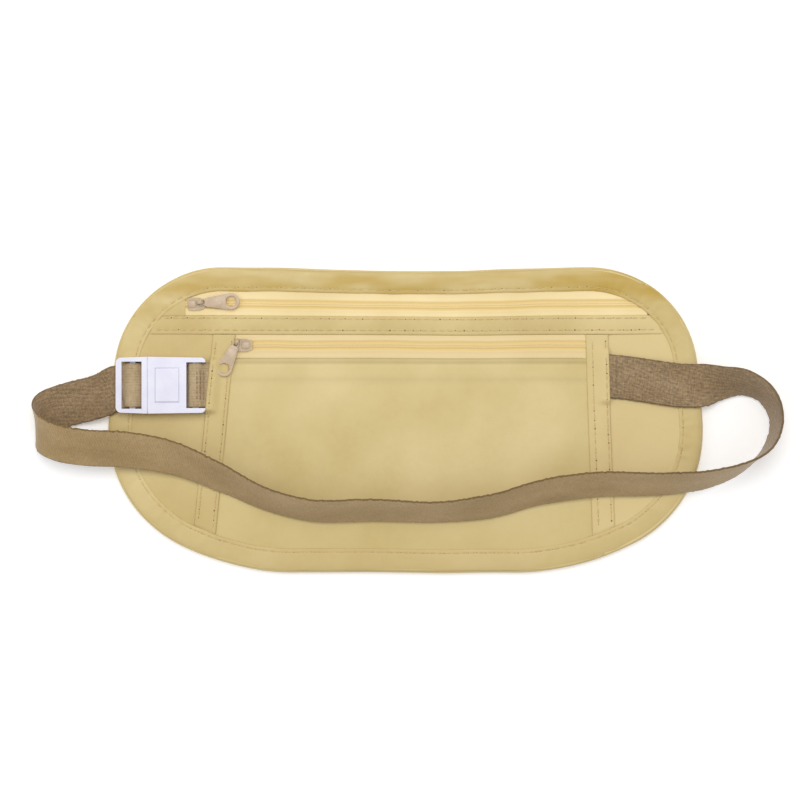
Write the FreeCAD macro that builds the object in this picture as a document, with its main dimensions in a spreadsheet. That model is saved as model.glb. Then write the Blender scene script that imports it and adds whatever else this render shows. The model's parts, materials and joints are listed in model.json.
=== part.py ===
import FreeCAD, Part
import math
import os
import Sketcher

# Money belt lying flat on a table. Millimetres; +Z points up out of the table, X runs along
# the long side of the pouch, Y from the bottom edge to the top edge. Z 0 is the table.

V = FreeCAD.Vector
doc = FreeCAD.newDocument("MoneyBelt")
sheet = doc.addObject("Spreadsheet::Sheet", "Sizes")

# Driving sizes: (alias, value). The heights of the layers follow from these.
SIZES = [
    ("pouch_half_height", 66.5),
    ("top_line_half", 79.5),
    ("top_corner_radius", 47.5),
    ("side_radius", 306),
    ("low_corner_radius", 56.5),
    ("pouch_thick", 4.5),
    ("fabric_thick", 0.4),
    ("binding_width", 10.4),
    ("binding_wall", 0.5),
    ("back_low", 0.4),
    ("lining_low", 1.4),
    ("tape_low", 3.3),
    ("front_low", 3.7),
    ("strip_low", 4.1),
    ("band_top", 45.4),
    ("band_bottom", 37),
    ("panel_top", 27),
    ("strip_width", 9.8),
    ("upper_chain", 50.3),
    ("lower_chain", 32.4),
    ("tape_width", 7),
    ("tape_gap", 1),
    ("coil_low", 2.5),
    ("coil_thick", 0.8),
    ("coil_width", 1.5),
    ("stop_thick", 1.3),
    ("slider_length", 7.6),
    ("slider_width", 5.6),
    ("slider_low", 2),
    ("slider_plate", 0.4),
    ("slider_rail", 0.7),
    ("slider_top_low", 3.9),
    ("slider_top_plate", 0.8),
    ("bail_width", 1.4),
    ("bail_inner", 0.85),
    ("bail_outer", 1.55),
    ("hinge_height", 5.35),
    ("tab_thick", 0.9),
    ("upper_tab_length", 17.1),
    ("lower_tab_length", 16.4),
    ("web_width", 19),
    ("web_thick", 1.2),
    ("buckle_low", 4.8),
    ("buckle_thick", 5),
    ("buckle_half", 12.3),
    ("buckle_across", 15),
    ("cavity_high", 8.7),
    ("cavity_deep", 2.8),
    ("tongue_low", 6.3),
    ("tongue_thick", 1.4),
    ("bar_low", 6.1),
    ("bar_thick", 1.8),
    ("relief_high", 7),
    ("centre_bar_low", 5.9),
    ("centre_bar_thick", 1.5),
    ("pad_low", 8.7),
    ("pad_thick", 1.3),
    ("tack_thick", 0.4),
    ("tack_tall", 1.8),
]
# Sizes that follow from others.
DERIVED = [
    ("groove_height", "=strip_low - back_low"),
    ("rail_top", "=slider_plate + slider_rail"),
    ("post_height", "=slider_top_low - slider_low"),
    ("cavity_low", "=cavity_high - cavity_deep"),
    ("relief_deep", "=relief_high - buckle_low"),
    ("anchor_top", "=strip_low + web_thick + 0.1"),
]
for row, (name, value) in enumerate(SIZES + DERIVED, start=1):
    sheet.set("A%d" % row, name)
    sheet.set("B%d" % row, str(value))
    sheet.setAlias("B%d" % row, name)
doc.recompute()


def size(name):
    return float(sheet.get(name))


# ---------------------------------------------------------------- helpers


def new_body(label, place=None):
    body = doc.addObject("PartDesign::Body", label)
    body.Label = label
    if place is not None:
        body.Placement = place
    return body


def new_sketch(body, plane, curves, lift=None):
    """A sketch of closed curves on one of the body's own planes, lifted by a size."""
    role = {"XY": "XY_Plane", "XZ": "XZ_Plane"}[plane]
    origin = [f for f in body.Origin.OriginFeatures if f.Role == role][0]
    sketch = body.newObject("Sketcher::SketchObject", body.Label + "_sketch")
    sketch.AttachmentSupport = [(origin, "")]
    sketch.MapMode = "FlatFace"
    if lift is not None:
        sketch.setExpression("AttachmentOffset.Base.z", "<<Sizes>>." + lift)
    sketch.addGeometry(curves, False)
    return sketch


def pad(body, curves, lift, length, plane="XY", middle=False):
    sketch = new_sketch(body, plane, curves, lift)
    feature = body.newObject("PartDesign::Pad", body.Label + "_pad")
    feature.Profile = sketch
    feature.setExpression("Length", "<<Sizes>>." + length)
    feature.Midplane = middle
    sketch.Visibility = False
    doc.recompute()
    return feature


def pocket(body, curves, lift, length):
    """Cuts upwards from the lifted sketch, whose height and depth are sizes."""
    sketch = new_sketch(body, "XY", curves, lift)
    before = body.Shape.Volume
    feature = body.newObject("PartDesign::Pocket", body.Label + "_pocket")
    feature.Profile = sketch
    feature.Reversed = True
    feature.setExpression("Length", "<<Sizes>>." + length)
    sketch.Visibility = False
    doc.recompute()
    if body.Shape.Volume > before - 1e-6:
        raise RuntimeError(body.Label + ": a pocket removed nothing")
    return feature


def polygon(points):
    pts = [V(x, y, 0) for x, y in points]
    return [Part.LineSegment(a, b) for a, b in zip(pts, pts[1:] + pts[:1])]


def box(x0, y0, x1, y1):
    return polygon([(x0, y0), (x1, y0), (x1, y1), (x0, y1)])


def disc(x, y, radius):
    return [Part.Circle(V(x, y, 0), V(0, 0, 1), radius)]


def rounded(points, radii):
    """A closed polygon whose corners are rounded, one radius for each corner."""
    starts, ends, mids = [], [], []
    count = len(points)
    for i in range(count):
        here = V(points[i][0], points[i][1], 0)
        back = V(points[i - 1][0], points[i - 1][1], 0).sub(here).normalize()
        nxt = points[(i + 1) % count]
        ahead = V(nxt[0], nxt[1], 0).sub(here).normalize()
        half = back.getAngle(ahead) / 2
        reach = radii[i] / math.tan(half)
        bisector = (back + ahead).normalize()
        starts.append(here + back * reach)
        ends.append(here + ahead * reach)
        mids.append(here + bisector * (radii[i] / math.sin(half) - radii[i]))
    curves = []
    for i in range(count):
        if radii[i] > 0:
            curves.append(Part.Arc(starts[i], mids[i], ends[i]))
        curves.append(Part.LineSegment(ends[i], starts[(i + 1) % count]))
    return curves


def outline(inset=0.0):
    """The pouch's outline as tangent arcs, moved inwards by the inset."""
    half = size("pouch_half_height")
    start = size("top_line_half")
    radii = [size("top_corner_radius"), size("side_radius"), size("low_corner_radius")]
    turns = [math.radians(a) for a in (81, 5, 67)]
    x, y, angle = start, half, math.pi / 2
    arcs = []
    for radius, turn in zip(radii, turns):
        cx = x - radius * math.cos(angle)
        cy = y - radius * math.sin(angle)
        arcs.append((cx, cy, radius, angle, angle - turn))
        angle -= turn
        x = cx + radius * math.cos(angle)
        y = cy + radius * math.sin(angle)
    last = (y + half) / (1 + math.sin(angle))
    cx = x - last * math.cos(angle)
    cy = y - last * math.sin(angle)
    arcs.append((cx, cy, last, angle, -math.pi / 2))
    right = []
    for cx, cy, radius, a0, a1 in arcs:
        r = radius - inset
        pts = [
            V(cx + r * math.cos(a), cy + r * math.sin(a), 0)
            for a in (a0, (a0 + a1) / 2, a1)
        ]
        right.append(pts)
    curves = [Part.Arc(*pts) for pts in right]
    mirror = [[V(-p.x, p.y, 0) for p in reversed(pts)] for pts in right]
    curves += [Part.LineSegment(right[-1][2], mirror[-1][0])]
    curves += [Part.Arc(*pts) for pts in reversed(mirror)]
    curves += [Part.LineSegment(mirror[0][2], right[0][0])]
    return curves


def webbing(stations, steps):
    """Cross-sections of flat webbing through stations: the middle, and the direction
    across the webbing. The middle and one edge run as smooth curves."""
    half = size("web_width") / 2
    thick = size("web_thick") / 2
    middles = [V(*s[:3]) for s in stations]
    tips = [V(*s[:3]) + V(*s[3:]).normalize() * half for s in stations]
    knots = [0.0]
    for a, b in zip(middles, middles[1:]):
        knots.append(knots[-1] + math.sqrt(a.distanceToPoint(b)))
    centre = Part.BSplineCurve()
    centre.interpolate(Points=middles, Parameters=knots)
    edge = Part.BSplineCurve()
    edge.interpolate(Points=tips, Parameters=knots)
    sections = []
    for a, b in zip(knots, knots[1:]):
        for k in range(steps):
            sections.append(a + (b - a) * k / steps)
    sections.append(knots[-1])
    wires = []
    for u in sections:
        mid = centre.value(u)
        along = V(*centre.tangent(u)[0]).normalize()
        across = edge.value(u) - mid
        across = (across - along * across.dot(along)).normalize()
        normal = along.cross(across)
        corners = [
            mid + across * (i * half) + normal * (j * thick)
            for i, j in ((1, 1), (-1, 1), (-1, -1), (1, -1))
        ]
        wires.append(Part.makePolygon(corners + corners[:1]))
    return wires


def loft(label, wires):
    feature = doc.addObject("Part::Feature", label)
    feature.Label = label
    feature.Shape = Part.makeLoft(wires, True, True)
    return feature


NODES = []


def keep(feature):
    NODES.append(feature)
    return feature


# ---------------------------------------------------------------- pouch

WALL = size("binding_wall")
WIDTH = size("binding_width")
HUGE = 200

# A strip's outer edge: its X at the band and its X far down, near the lower border.
LEFT_TOP, LEFT_LOW = -83.9, -92.4
RIGHT_TOP, RIGHT_LOW = 87.8, 90.9
STRIP_TOP = size("band_bottom")
STRIP_LOW = -50.0
SEAM_END = -size("pouch_half_height") - 1


def strip_edge(side, inset, y):
    """X of a strip's edge at height y; inset counts from the outer edge to the middle."""
    if side < 0:
        top, low, way = LEFT_TOP, LEFT_LOW, 1
    else:
        top, low, way = RIGHT_TOP, RIGHT_LOW, -1
    share = (STRIP_TOP - y) / (STRIP_TOP - STRIP_LOW)
    return top + (low - top) * share + way * inset


def cloth(label, lift, cuts=(), inset=WALL):
    """A sheet of fabric: the pouch's outline, moved inwards, with polygons cut away."""
    body = new_body(label)
    pad(body, outline(inset), lift, "fabric_thick")
    for curves in cuts:
        pocket(body, curves, lift, "fabric_thick")
    return keep(body)


cloth("back_panel", "back_low")
cloth("pocket_lining", "lining_low")

TOP_TAPE_EDGE = size("pouch_half_height") - WIDTH - 0.2
ZIP_LEFT = -96.0
BAND_TOP = size("band_top")
BAND_LOW = size("band_bottom")
PANEL_TOP = size("panel_top")
MIDDLE = size("strip_width") / 2

# The facing lies under the top border and comes down beside the upper zipper's left end.
cloth(
    "top_facing",
    "front_low",
    [
        box(-HUGE, -HUGE, HUGE, BAND_TOP),
        box(ZIP_LEFT, BAND_TOP - 1, HUGE, TOP_TAPE_EDGE),
    ],
)
cloth(
    "zip_band",
    "front_low",
    [box(-HUGE, BAND_TOP, HUGE, HUGE), box(-HUGE, -HUGE, HUGE, BAND_LOW)],
)


def beside(side, inset, away):
    """Everything on one side of a slanting line that runs along a strip."""
    top = strip_edge(side, inset, BAND_LOW + 1), BAND_LOW + 1
    low = strip_edge(side, inset, SEAM_END), SEAM_END
    return polygon([top, low, (away * HUGE, SEAM_END), (away * HUGE, BAND_LOW + 1)])


ABOVE = box(-HUGE, BAND_LOW, HUGE, HUGE)
cloth("side_panel_left", "front_low", [ABOVE, beside(-1, MIDDLE, 1)])
cloth("side_panel_right", "front_low", [ABOVE, beside(1, MIDDLE, -1)])
cloth(
    "pocket_panel",
    "front_low",
    [
        box(-HUGE, PANEL_TOP, HUGE, HUGE),
        beside(-1, MIDDLE, -1),
        beside(1, MIDDLE, 1),
    ],
)
for side, label in ((-1, "pocket_strip_left"), (1, "pocket_strip_right")):
    cuts = [ABOVE, beside(side, 0, side), beside(side, 2 * MIDDLE, -side)]
    cloth(label, "strip_low", cuts, WIDTH)

# The binding is folded over the edge: a wall with a flap above and a flap below.
binding = new_body("edge_binding")
pad(binding, outline() + outline(WIDTH), None, "pouch_thick")
pocket(binding, outline(WALL), "back_low", "groove_height")
keep(binding)

# ---------------------------------------------------------------- zippers


# Along a zipper, counted from its tape's left end and from its coil's right end.
START_STOP_LEFT, START_STOP_RIGHT, COIL_START = 1, 2.9, 3
END_STOP_LEFT, END_STOP_RIGHT = 0.1, 2


def zipper(prefix, chain, left, coil_end, right):
    """Two tapes and two coil halves along a straight chain, with stops at both ends."""
    gap = size("tape_gap") / 2
    wide = size("tape_width")
    coil = size("coil_width")
    for way, side in ((1, "top"), (-1, "bottom")):
        near = chain + way * gap
        tape = new_body("%s_zip_tape_%s" % (prefix, side))
        low, high = sorted((near, near + way * wide))
        curves = box(left, low, right, high)
        pad(tape, curves, "tape_low", "fabric_thick")
        keep(tape)
        teeth = new_body("%s_zip_coil_%s" % (prefix, side))
        low, high = sorted((near, near + way * coil))
        curves = box(left + COIL_START, low, coil_end, high)
        pad(teeth, curves, "coil_low", "coil_thick")
        keep(teeth)
        stop = new_body("%s_zip_start_stop_%s" % (prefix, side))
        curves = box(left + START_STOP_LEFT, low, left + START_STOP_RIGHT, high)
        pad(stop, curves, "slider_low", "stop_thick")
        keep(stop)
    end = new_body("%s_zip_end_stop" % prefix)
    reach = gap + coil
    curves = box(
        coil_end + END_STOP_LEFT, chain - reach, coil_end + END_STOP_RIGHT, chain + reach
    )
    pad(end, curves, "slider_low", "stop_thick")
    keep(end)


UPPER = size("upper_chain")
LOWER = size("lower_chain")
# X of each tape's left end, of the coil's right end and of the tape's right end.
UPPER_SPAN = (-100.5, 95.5, 105)
LOWER_SPAN = (-78, 77, 81)
zipper("upper", UPPER, *UPPER_SPAN)
zipper("lower", LOWER, *LOWER_SPAN)


# The slider's nose, rails and post, in its own frame: X along the chain from its middle.
NOSE_LONG, NOSE_IN = 2.6, 0.9
NOSE_RADII = [1.6, 0.8, 0.6, 0.6, 0.8, 1.6]
RAIL_LEFT, RAIL_RIGHT, RAIL_IN, RAIL_WIDE = -1.9, 0.9, 0.3, 0.5
POST_LEFT, POST_RIGHT, POST_HALF = -2.8, -0.6, 0.3
# The pull tab, in its own frame: X from the hinge to the ring's far side.
RING, RING_HOLE = 3.6, 2.1
ROOT_X, ROOT_HALF = -0.4, 2.1
EYE_LEFT, EYE_RIGHT, EYE_HALF = 0.45, 1.95, 1.1


def slider(prefix, x, y, hinge_x, hinge_y, heading, tab_length):
    """Slider body, the bail over it, and the pull tab whose end bar turns in the bail."""
    place = FreeCAD.Placement(V(x, y, 0), FreeCAD.Rotation())
    long_half = size("slider_length") / 2
    wide_half = size("slider_width") / 2
    plan = rounded(
        [
            (-long_half, -wide_half),
            (long_half - NOSE_LONG, -wide_half),
            (long_half, -wide_half + NOSE_IN),
            (long_half, wide_half - NOSE_IN),
            (long_half - NOSE_LONG, wide_half),
            (-long_half, wide_half),
        ],
        NOSE_RADII,
    )
    body = new_body(prefix + "_slider_body", place)
    pad(body, plan, "slider_low", "slider_plate")
    for way in (-1, 1):
        edge = way * (wide_half - RAIL_IN)
        inner = edge - way * RAIL_WIDE
        curves = box(RAIL_LEFT, min(edge, inner), RAIL_RIGHT, max(edge, inner))
        pad(body, curves, "slider_low", "rail_top")
    post = box(POST_LEFT, -POST_HALF, POST_RIGHT, POST_HALF)
    pad(body, post, "slider_low", "post_height")
    pad(body, plan, "slider_top_low", "slider_top_plate")
    keep(body)

    turn = FreeCAD.Rotation(V(0, 0, 1), heading)
    hinge = FreeCAD.Placement(V(hinge_x, hinge_y, size("hinge_height")), turn)
    bail = new_body(prefix + "_slider_bail", hinge)
    foot = size("slider_top_low") + size("slider_top_plate") - size("hinge_height")
    outer = size("bail_outer")
    inner = size("bail_inner")
    arch = [
        Part.Arc(V(outer, 0, 0), V(0, outer, 0), V(-outer, 0, 0)),
        Part.LineSegment(V(-outer, 0, 0), V(-outer, foot, 0)),
        Part.LineSegment(V(-outer, foot, 0), V(-inner, foot, 0)),
        Part.LineSegment(V(-inner, foot, 0), V(-inner, 0, 0)),
        Part.Arc(V(-inner, 0, 0), V(0, inner, 0), V(inner, 0, 0)),
        Part.LineSegment(V(inner, 0, 0), V(inner, foot, 0)),
        Part.LineSegment(V(inner, foot, 0), V(outer, foot, 0)),
        Part.LineSegment(V(outer, foot, 0), V(outer, 0, 0)),
    ]
    pad(bail, arch, None, "bail_width", "XZ", True)
    keep(bail)

    tab = new_body(prefix + "_pull_tab", hinge)
    centre = tab_length - RING
    away = math.hypot(centre - ROOT_X, ROOT_HALF)
    lean = math.asin(RING / away) - math.atan2(ROOT_HALF, centre - ROOT_X)
    touch = V(centre - RING * math.sin(lean), RING * math.cos(lean), 0)
    low = V(touch.x, -touch.y, 0)
    root = V(ROOT_X, ROOT_HALF, 0)
    low_root = V(ROOT_X, -ROOT_HALF, 0)
    plan = [
        Part.LineSegment(low_root, low),
        Part.Arc(low, V(tab_length, 0, 0), touch),
        Part.LineSegment(touch, root),
        Part.LineSegment(root, low_root),
    ]
    eye = box(EYE_LEFT, -EYE_HALF, EYE_RIGHT, EYE_HALF)
    pad(tab, plan + eye + disc(centre, 0, RING_HOLE), None, "tab_thick", "XY", True)
    keep(tab)


# Each slider's middle, then its hinge and the way its pull tab points, in degrees.
UPPER_SLIDER_X, LOWER_SLIDER_X = -91.2, -70.6
UPPER_TAB = (-89.4, 50.9, 2, size("upper_tab_length"))
LOWER_TAB = (-73.4, 33.8, 244, size("lower_tab_length"))
slider("upper", UPPER_SLIDER_X, UPPER, *UPPER_TAB)
slider("lower", LOWER_SLIDER_X, LOWER, *LOWER_TAB)

# ---------------------------------------------------------------- buckle

ACROSS = size("buckle_across")
# Half widths: the plastic, its narrower ends, the room for the webbing and for the tongue.
SIDE = size("buckle_half")
PLUG_NARROW, SOCKET_NARROW = 0.5, 0.4
WEB_ROOM, PLUG_WINDOW_HALF, CAVITY_HALF = 9.9, 10.2, 9.6
# X of the plastic's ends, of its openings, and of the bars the webbing goes round.
PLUG_LEFT, SEAM, SOCKET_RIGHT = -125.5, -111.7, -86.8
SEAM_GAP, BEYOND = 0.2, 1
PLUG_WINDOW_LEFT, PLUG_WINDOW_RIGHT = -123.0, -114.3
RELIEF_LEFT, RELIEF_RIGHT = -122.8, -122.6
CENTRE_BAR_LEFT, CENTRE_BAR_RIGHT = -119.7, -117.3
SOCKET_WINDOW_LEFT, CAVITY_RIGHT = -95.0, -97.4
END_BAR_LEFT, END_BAR_RIGHT = -92.4, -89.8
BAR_BITE = 0.3
END_ROUND, SOCKET_ROUND, SEAM_ROUND = 2.4, 1.8, 0.3
# The pad that is pressed, and the gaps left beside it and at its two ends.
PAD_LEFT, PAD_RIGHT, PAD_HALF = -108.4, -98.2, 7.0
PAD_SIDE_GAP, PAD_END_GAP = 0.12, 0.5
# The plug's tongue tapers to its rounded tip; two slots part it into three springs.
TONGUE_LEFT, TONGUE_RIGHT, TONGUE_ROUND = -113.8, -98.4, 2
TONGUE_ROOT_HALF, TONGUE_TIP_HALF = 9.2, 8.4
SLOT_LEFT, SLOT_RIGHT, SLOT_ACROSS, SLOT_HALF = -109.9, -100.9, 4, 0.4


def across(x0, half0, x1, half1=None):
    """A box symmetric about the buckle's middle line, or a wedge of two half widths."""
    if half1 is None:
        half1 = half0
    return polygon(across_points(x0, half0, x1, half1))


def across_points(x0, half0, x1, half1):
    return [(x0, ACROSS - half0), (x1, ACROSS - half1), (x1, ACROSS + half1), (x0, ACROSS + half0)]


socket = new_body("buckle_socket")
plan = rounded(
    across_points(SEAM, SIDE, SOCKET_RIGHT, SIDE - SOCKET_NARROW),
    [SEAM_ROUND, SOCKET_ROUND, SOCKET_ROUND, SEAM_ROUND],
)
pad(socket, plan, "buckle_low", "buckle_thick")
opening = across(SOCKET_WINDOW_LEFT, WEB_ROOM, SOCKET_RIGHT + BEYOND)
pocket(socket, opening, "buckle_low", "buckle_thick")
end_bar = across(END_BAR_LEFT, WEB_ROOM + BAR_BITE, END_BAR_RIGHT)
pad(socket, end_bar, "bar_low", "bar_thick")
pocket(socket, across(SEAM - BEYOND, CAVITY_HALF, CAVITY_RIGHT), "cavity_low", "cavity_deep")
pad_hole = across(PAD_LEFT - PAD_SIDE_GAP, PAD_HALF + PAD_END_GAP, PAD_RIGHT + PAD_SIDE_GAP)
pocket(socket, pad_hole, "cavity_low", "buckle_thick")
keep(socket)

press = new_body("buckle_release_pad")
pad(press, across(PAD_LEFT, PAD_HALF, PAD_RIGHT), "pad_low", "pad_thick")
keep(press)

plug = new_body("buckle_plug")
plan = rounded(
    across_points(PLUG_LEFT, SIDE - PLUG_NARROW, SEAM - SEAM_GAP, SIDE),
    [END_ROUND, SEAM_ROUND, SEAM_ROUND, END_ROUND],
)
pad(plug, plan, "buckle_low", "buckle_thick")
window = across(PLUG_WINDOW_LEFT, PLUG_WINDOW_HALF, PLUG_WINDOW_RIGHT)
pocket(plug, window, "buckle_low", "buckle_thick")
# The underside is cut away so that the webbing can lie flat below the plug.
pocket(plug, across(RELIEF_LEFT, WEB_ROOM, SEAM + BEYOND), "buckle_low", "relief_deep")
pocket(plug, across(PLUG_LEFT - BEYOND, SIDE + BEYOND, RELIEF_RIGHT), "buckle_low", "relief_deep")
centre_bar = across(CENTRE_BAR_LEFT, PLUG_WINDOW_HALF + BAR_BITE, CENTRE_BAR_RIGHT)
pad(plug, centre_bar, "centre_bar_low", "centre_bar_thick")
tongue = rounded(
    across_points(TONGUE_LEFT, TONGUE_ROOT_HALF, TONGUE_RIGHT, TONGUE_TIP_HALF),
    [0, TONGUE_ROUND, TONGUE_ROUND, 0],
)
pad(plug, tongue, "tongue_low", "tongue_thick")
for way in (-1, 1):
    middle = ACROSS + way * SLOT_ACROSS
    slot = box(SLOT_LEFT, middle - SLOT_HALF, SLOT_RIGHT, middle + SLOT_HALF)
    pocket(plug, slot, "tongue_low", "tongue_thick")
keep(plug)

# ---------------------------------------------------------------- webbing

# Each station: middle X, Y, Z, then the direction from the lower edge to the upper edge.
STRAP = [
    (89.9, 18.8, 4.8, 0.10, 1.00, 0.00),
    (98.0, 17.9, 4.8, 0.12, 1.00, 0.00),
    (108.0, 16.4, 5.0, 0.12, 1.00, 0.00),
    (119.0, 14.9, 5.6, 0.08, 1.00, 0.01),
    (128.0, 14.9, 6.7, 0.06, 1.00, 0.14),
    (136.5, 16.0, 7.2, 0.14, 0.76, 0.60),
    (146.0, 16.2, 8.6, 0.30, 0.50, 0.82),
    (154.8, 11.0, 9.4, 0.34, 0.26, 0.90),
    (159.0, 0.0, 9.8, 0.28, 0.04, 0.96),
    (155.8, -12.0, 10.2, 0.12, 0.02, 0.99),
    (146.0, -20.4, 11.4, 0.00, 0.26, 0.96),
    (130.0, -25.6, 13.6, -0.04, 0.44, 0.90),
    (108.0, -27.6, 13.6, 0.00, 0.54, 0.84),
    (82.0, -27.8, 13.2, 0.05, 0.60, 0.80),
    (58.0, -31.2, 13.0, 0.15, 0.62, 0.78),
    (38.0, -36.8, 13.0, 0.15, 0.60, 0.79),
    (14.0, -39.6, 13.4, 0.00, 0.50, 0.86),
    (-14.0, -38.8, 13.4, 0.00, 0.54, 0.84),
    (-40.0, -39.0, 13.2, -0.06, 0.54, 0.84),
    (-60.0, -34.2, 12.6, -0.18, 0.60, 0.78),
    (-80.0, -24.9, 12.2, -0.20, 0.72, 0.66),
    (-100.0, -16.6, 12.6, -0.16, 0.78, 0.60),
    (-120.0, -12.8, 14.4, -0.08, 0.82, 0.56),
    (-138.0, -11.8, 16.6, 0.00, 0.84, 0.54),
    (-150.6, -9.6, 16.6, 0.02, 0.86, 0.50),
    (-158.2, -5.8, 12.8, 0.04, 0.88, 0.46),
    (-159.7, -1.4, 8.2, 0.00, 0.88, 0.46),
    (-155.4, 3.4, 4.2, -0.20, 0.95, 0.20),
    (-145.0, 7.2, 2.6, -0.16, 0.98, 0.06),
    (-136.0, 9.4, 4.0, -0.15, 0.99, 0.00),
    (-130.0, 11.6, 5.5, -0.13, 0.99, 0.00),
    (-125.8, 13.9, 5.7, -0.08, 1.00, 0.00),
    (-124.0, 14.6, 5.7, -0.04, 1.00, 0.00),
    (-121.6, 15.0, 7.0, 0.00, 1.00, 0.00),
    (-119.6, 15.0, 8.4, 0.00, 1.00, 0.00),
    (-117.4, 15.0, 8.4, 0.00, 1.00, 0.00),
    (-115.6, 15.0, 7.0, 0.00, 1.00, 0.00),
    (-114.3, 15.0, 5.7, 0.00, 1.00, 0.00),
    (-112.6, 15.0, 5.5, 0.00, 1.00, 0.00),
]
# The strap is parted at the station where the left loop turns back.
PARTING = 26
STEPS = 3
wires = webbing(STRAP, STEPS)
keep(loft("waist_strap", wires[: PARTING * STEPS + 1]))
keep(loft("strap_buckle_end", wires[PARTING * STEPS :]))

# The stub wraps round the socket's end bar, both of its ends lying at the strip.
STUB = [
    (-87.2, 15.0, 4.8, 0.00, 1.00, 0.00),
    (-89.8, 15.0, 4.9, 0.00, 1.00, 0.00),
    (-91.7, 15.0, 5.1, 0.00, 1.00, 0.00),
    (-93.3, 15.0, 5.8, 0.00, 1.00, 0.00),
    (-93.8, 15.0, 7.0, 0.00, 1.00, 0.00),
    (-93.3, 15.0, 8.2, 0.00, 1.00, 0.00),
    (-91.7, 15.0, 8.9, 0.00, 1.00, 0.00),
    (-89.6, 15.0, 8.7, 0.00, 1.00, 0.00),
    (-88.5, 15.0, 7.5, 0.00, 1.00, 0.00),
    (-87.2, 15.0, 6.4, 0.00, 1.00, 0.00),
]
keep(loft("stub_strap", webbing(STUB, STEPS)))

# Thread bars that sew the webbing's ends down: label, left, low, right, high, from, height.
TACKS = (
    ("strap_tack_right", (91.2, 11, 92.4, 26.5), "anchor_top", "tack_thick"),
    ("strap_tack_left", (-87.1, 7.5, -86.5, 22.5), "pouch_thick", "tack_tall"),
)
for label, corners, lift, length in TACKS:
    tack = new_body(label)
    pad(tack, box(*corners), lift, length)
    keep(tack)

# ---------------------------------------------------------------- write

doc.recompute()
for feature in doc.Objects:
    if "Invalid" in feature.State or "Error" in feature.State:
        raise RuntimeError(feature.Label + " is in error")
os.makedirs("parts", exist_ok=True)
for feature in NODES:
    shape = feature.Shape
    if shape.isNull() or not shape.isValid():
        raise RuntimeError(feature.Label + " has a bad shape")
    shape.exportStep(os.path.join("parts", feature.Label + ".step"))
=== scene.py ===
import bpy
import bmesh
import json
import math
import random
from functools import partial
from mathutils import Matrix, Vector, noise


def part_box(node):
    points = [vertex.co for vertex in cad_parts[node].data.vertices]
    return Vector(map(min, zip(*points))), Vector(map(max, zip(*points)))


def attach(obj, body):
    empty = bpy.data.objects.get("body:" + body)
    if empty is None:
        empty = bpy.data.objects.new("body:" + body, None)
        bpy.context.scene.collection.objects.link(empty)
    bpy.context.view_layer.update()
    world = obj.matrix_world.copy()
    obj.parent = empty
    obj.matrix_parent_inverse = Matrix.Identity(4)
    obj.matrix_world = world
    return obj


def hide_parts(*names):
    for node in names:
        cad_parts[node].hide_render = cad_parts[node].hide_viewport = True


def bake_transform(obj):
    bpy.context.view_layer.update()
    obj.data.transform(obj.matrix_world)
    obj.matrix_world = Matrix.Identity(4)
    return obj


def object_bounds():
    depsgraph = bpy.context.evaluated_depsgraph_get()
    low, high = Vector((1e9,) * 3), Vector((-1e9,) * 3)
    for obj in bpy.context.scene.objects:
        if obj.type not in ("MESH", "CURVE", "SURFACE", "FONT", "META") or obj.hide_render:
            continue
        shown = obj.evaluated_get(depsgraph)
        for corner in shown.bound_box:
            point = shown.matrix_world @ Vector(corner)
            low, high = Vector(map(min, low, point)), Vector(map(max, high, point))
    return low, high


# The money belt lies flat on a table and is seen from straight above. Everything is in
# metres, in the CAD frame: +X along the pouch, +Y to its top edge, +Z up out of the table.

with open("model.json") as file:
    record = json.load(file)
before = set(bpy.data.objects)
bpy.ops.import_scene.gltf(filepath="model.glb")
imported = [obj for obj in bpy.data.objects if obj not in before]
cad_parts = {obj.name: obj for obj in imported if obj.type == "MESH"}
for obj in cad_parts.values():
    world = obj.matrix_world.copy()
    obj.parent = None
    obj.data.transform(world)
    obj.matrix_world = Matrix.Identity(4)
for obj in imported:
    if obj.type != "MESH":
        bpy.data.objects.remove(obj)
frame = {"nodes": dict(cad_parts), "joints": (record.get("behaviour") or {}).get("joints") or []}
cad_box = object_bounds()

MM = 0.001

# ---- sizes

# The outline's arcs from the top line's right end down: radius, and degrees of turn.
# A last arc, worked out, brings the outline round to the straight bottom line.
OUTLINE_ARCS = ((47.5 * MM, 81), (306 * MM, 5), (56.5 * MM, 67))
TOP_LINE_HALF = 79.5 * MM

HALF_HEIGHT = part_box("edge_binding")[1].y
BINDING_WIDTH = 10.4 * MM
CLOTH_INSET = 0.9 * MM
BINDING_SEAM = 8.8 * MM
# A sheet has at least this many cells each way.
FEWEST_CELLS = 4

PANEL_LOW, PANEL_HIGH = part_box("pocket_panel")
FRONT = PANEL_HIGH.z
CLOTH = PANEL_HIGH.z - PANEL_LOW.z
PANEL_TOP = PANEL_HIGH.y
FOLD_LOW = PANEL_TOP - 2.4 * MM
HEM_LOW = PANEL_TOP - 9.4 * MM
BAND_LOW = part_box("zip_band")[0].y
BAND_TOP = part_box("zip_band")[1].y
FACING_RIGHT = -96 * MM

# A strip's outer edge at the band, and its outer edge far down the pouch.
STRIP_EDGES = {-1: (-83.9 * MM, -92.4 * MM), 1: (87.8 * MM, 90.9 * MM)}
STRIP_FALL = BAND_LOW + 50 * MM
STRIP_WIDTH = 9.8 * MM
STRIP_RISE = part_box("pocket_strip_left")[1].z - FRONT

STITCH = 3.7 * MM
THREAD = 0.19 * MM
# How far the middle of a seam's path lies above the cloth.
THREAD_LIFT = 0.03 * MM

WEB_WIDTH = 19 * MM
WEB_THICK = 1.2 * MM

# Y of the buckle's middle in millimetres, along which both its webbing ends lie.
BUCKLE_Y = 15.0


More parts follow.
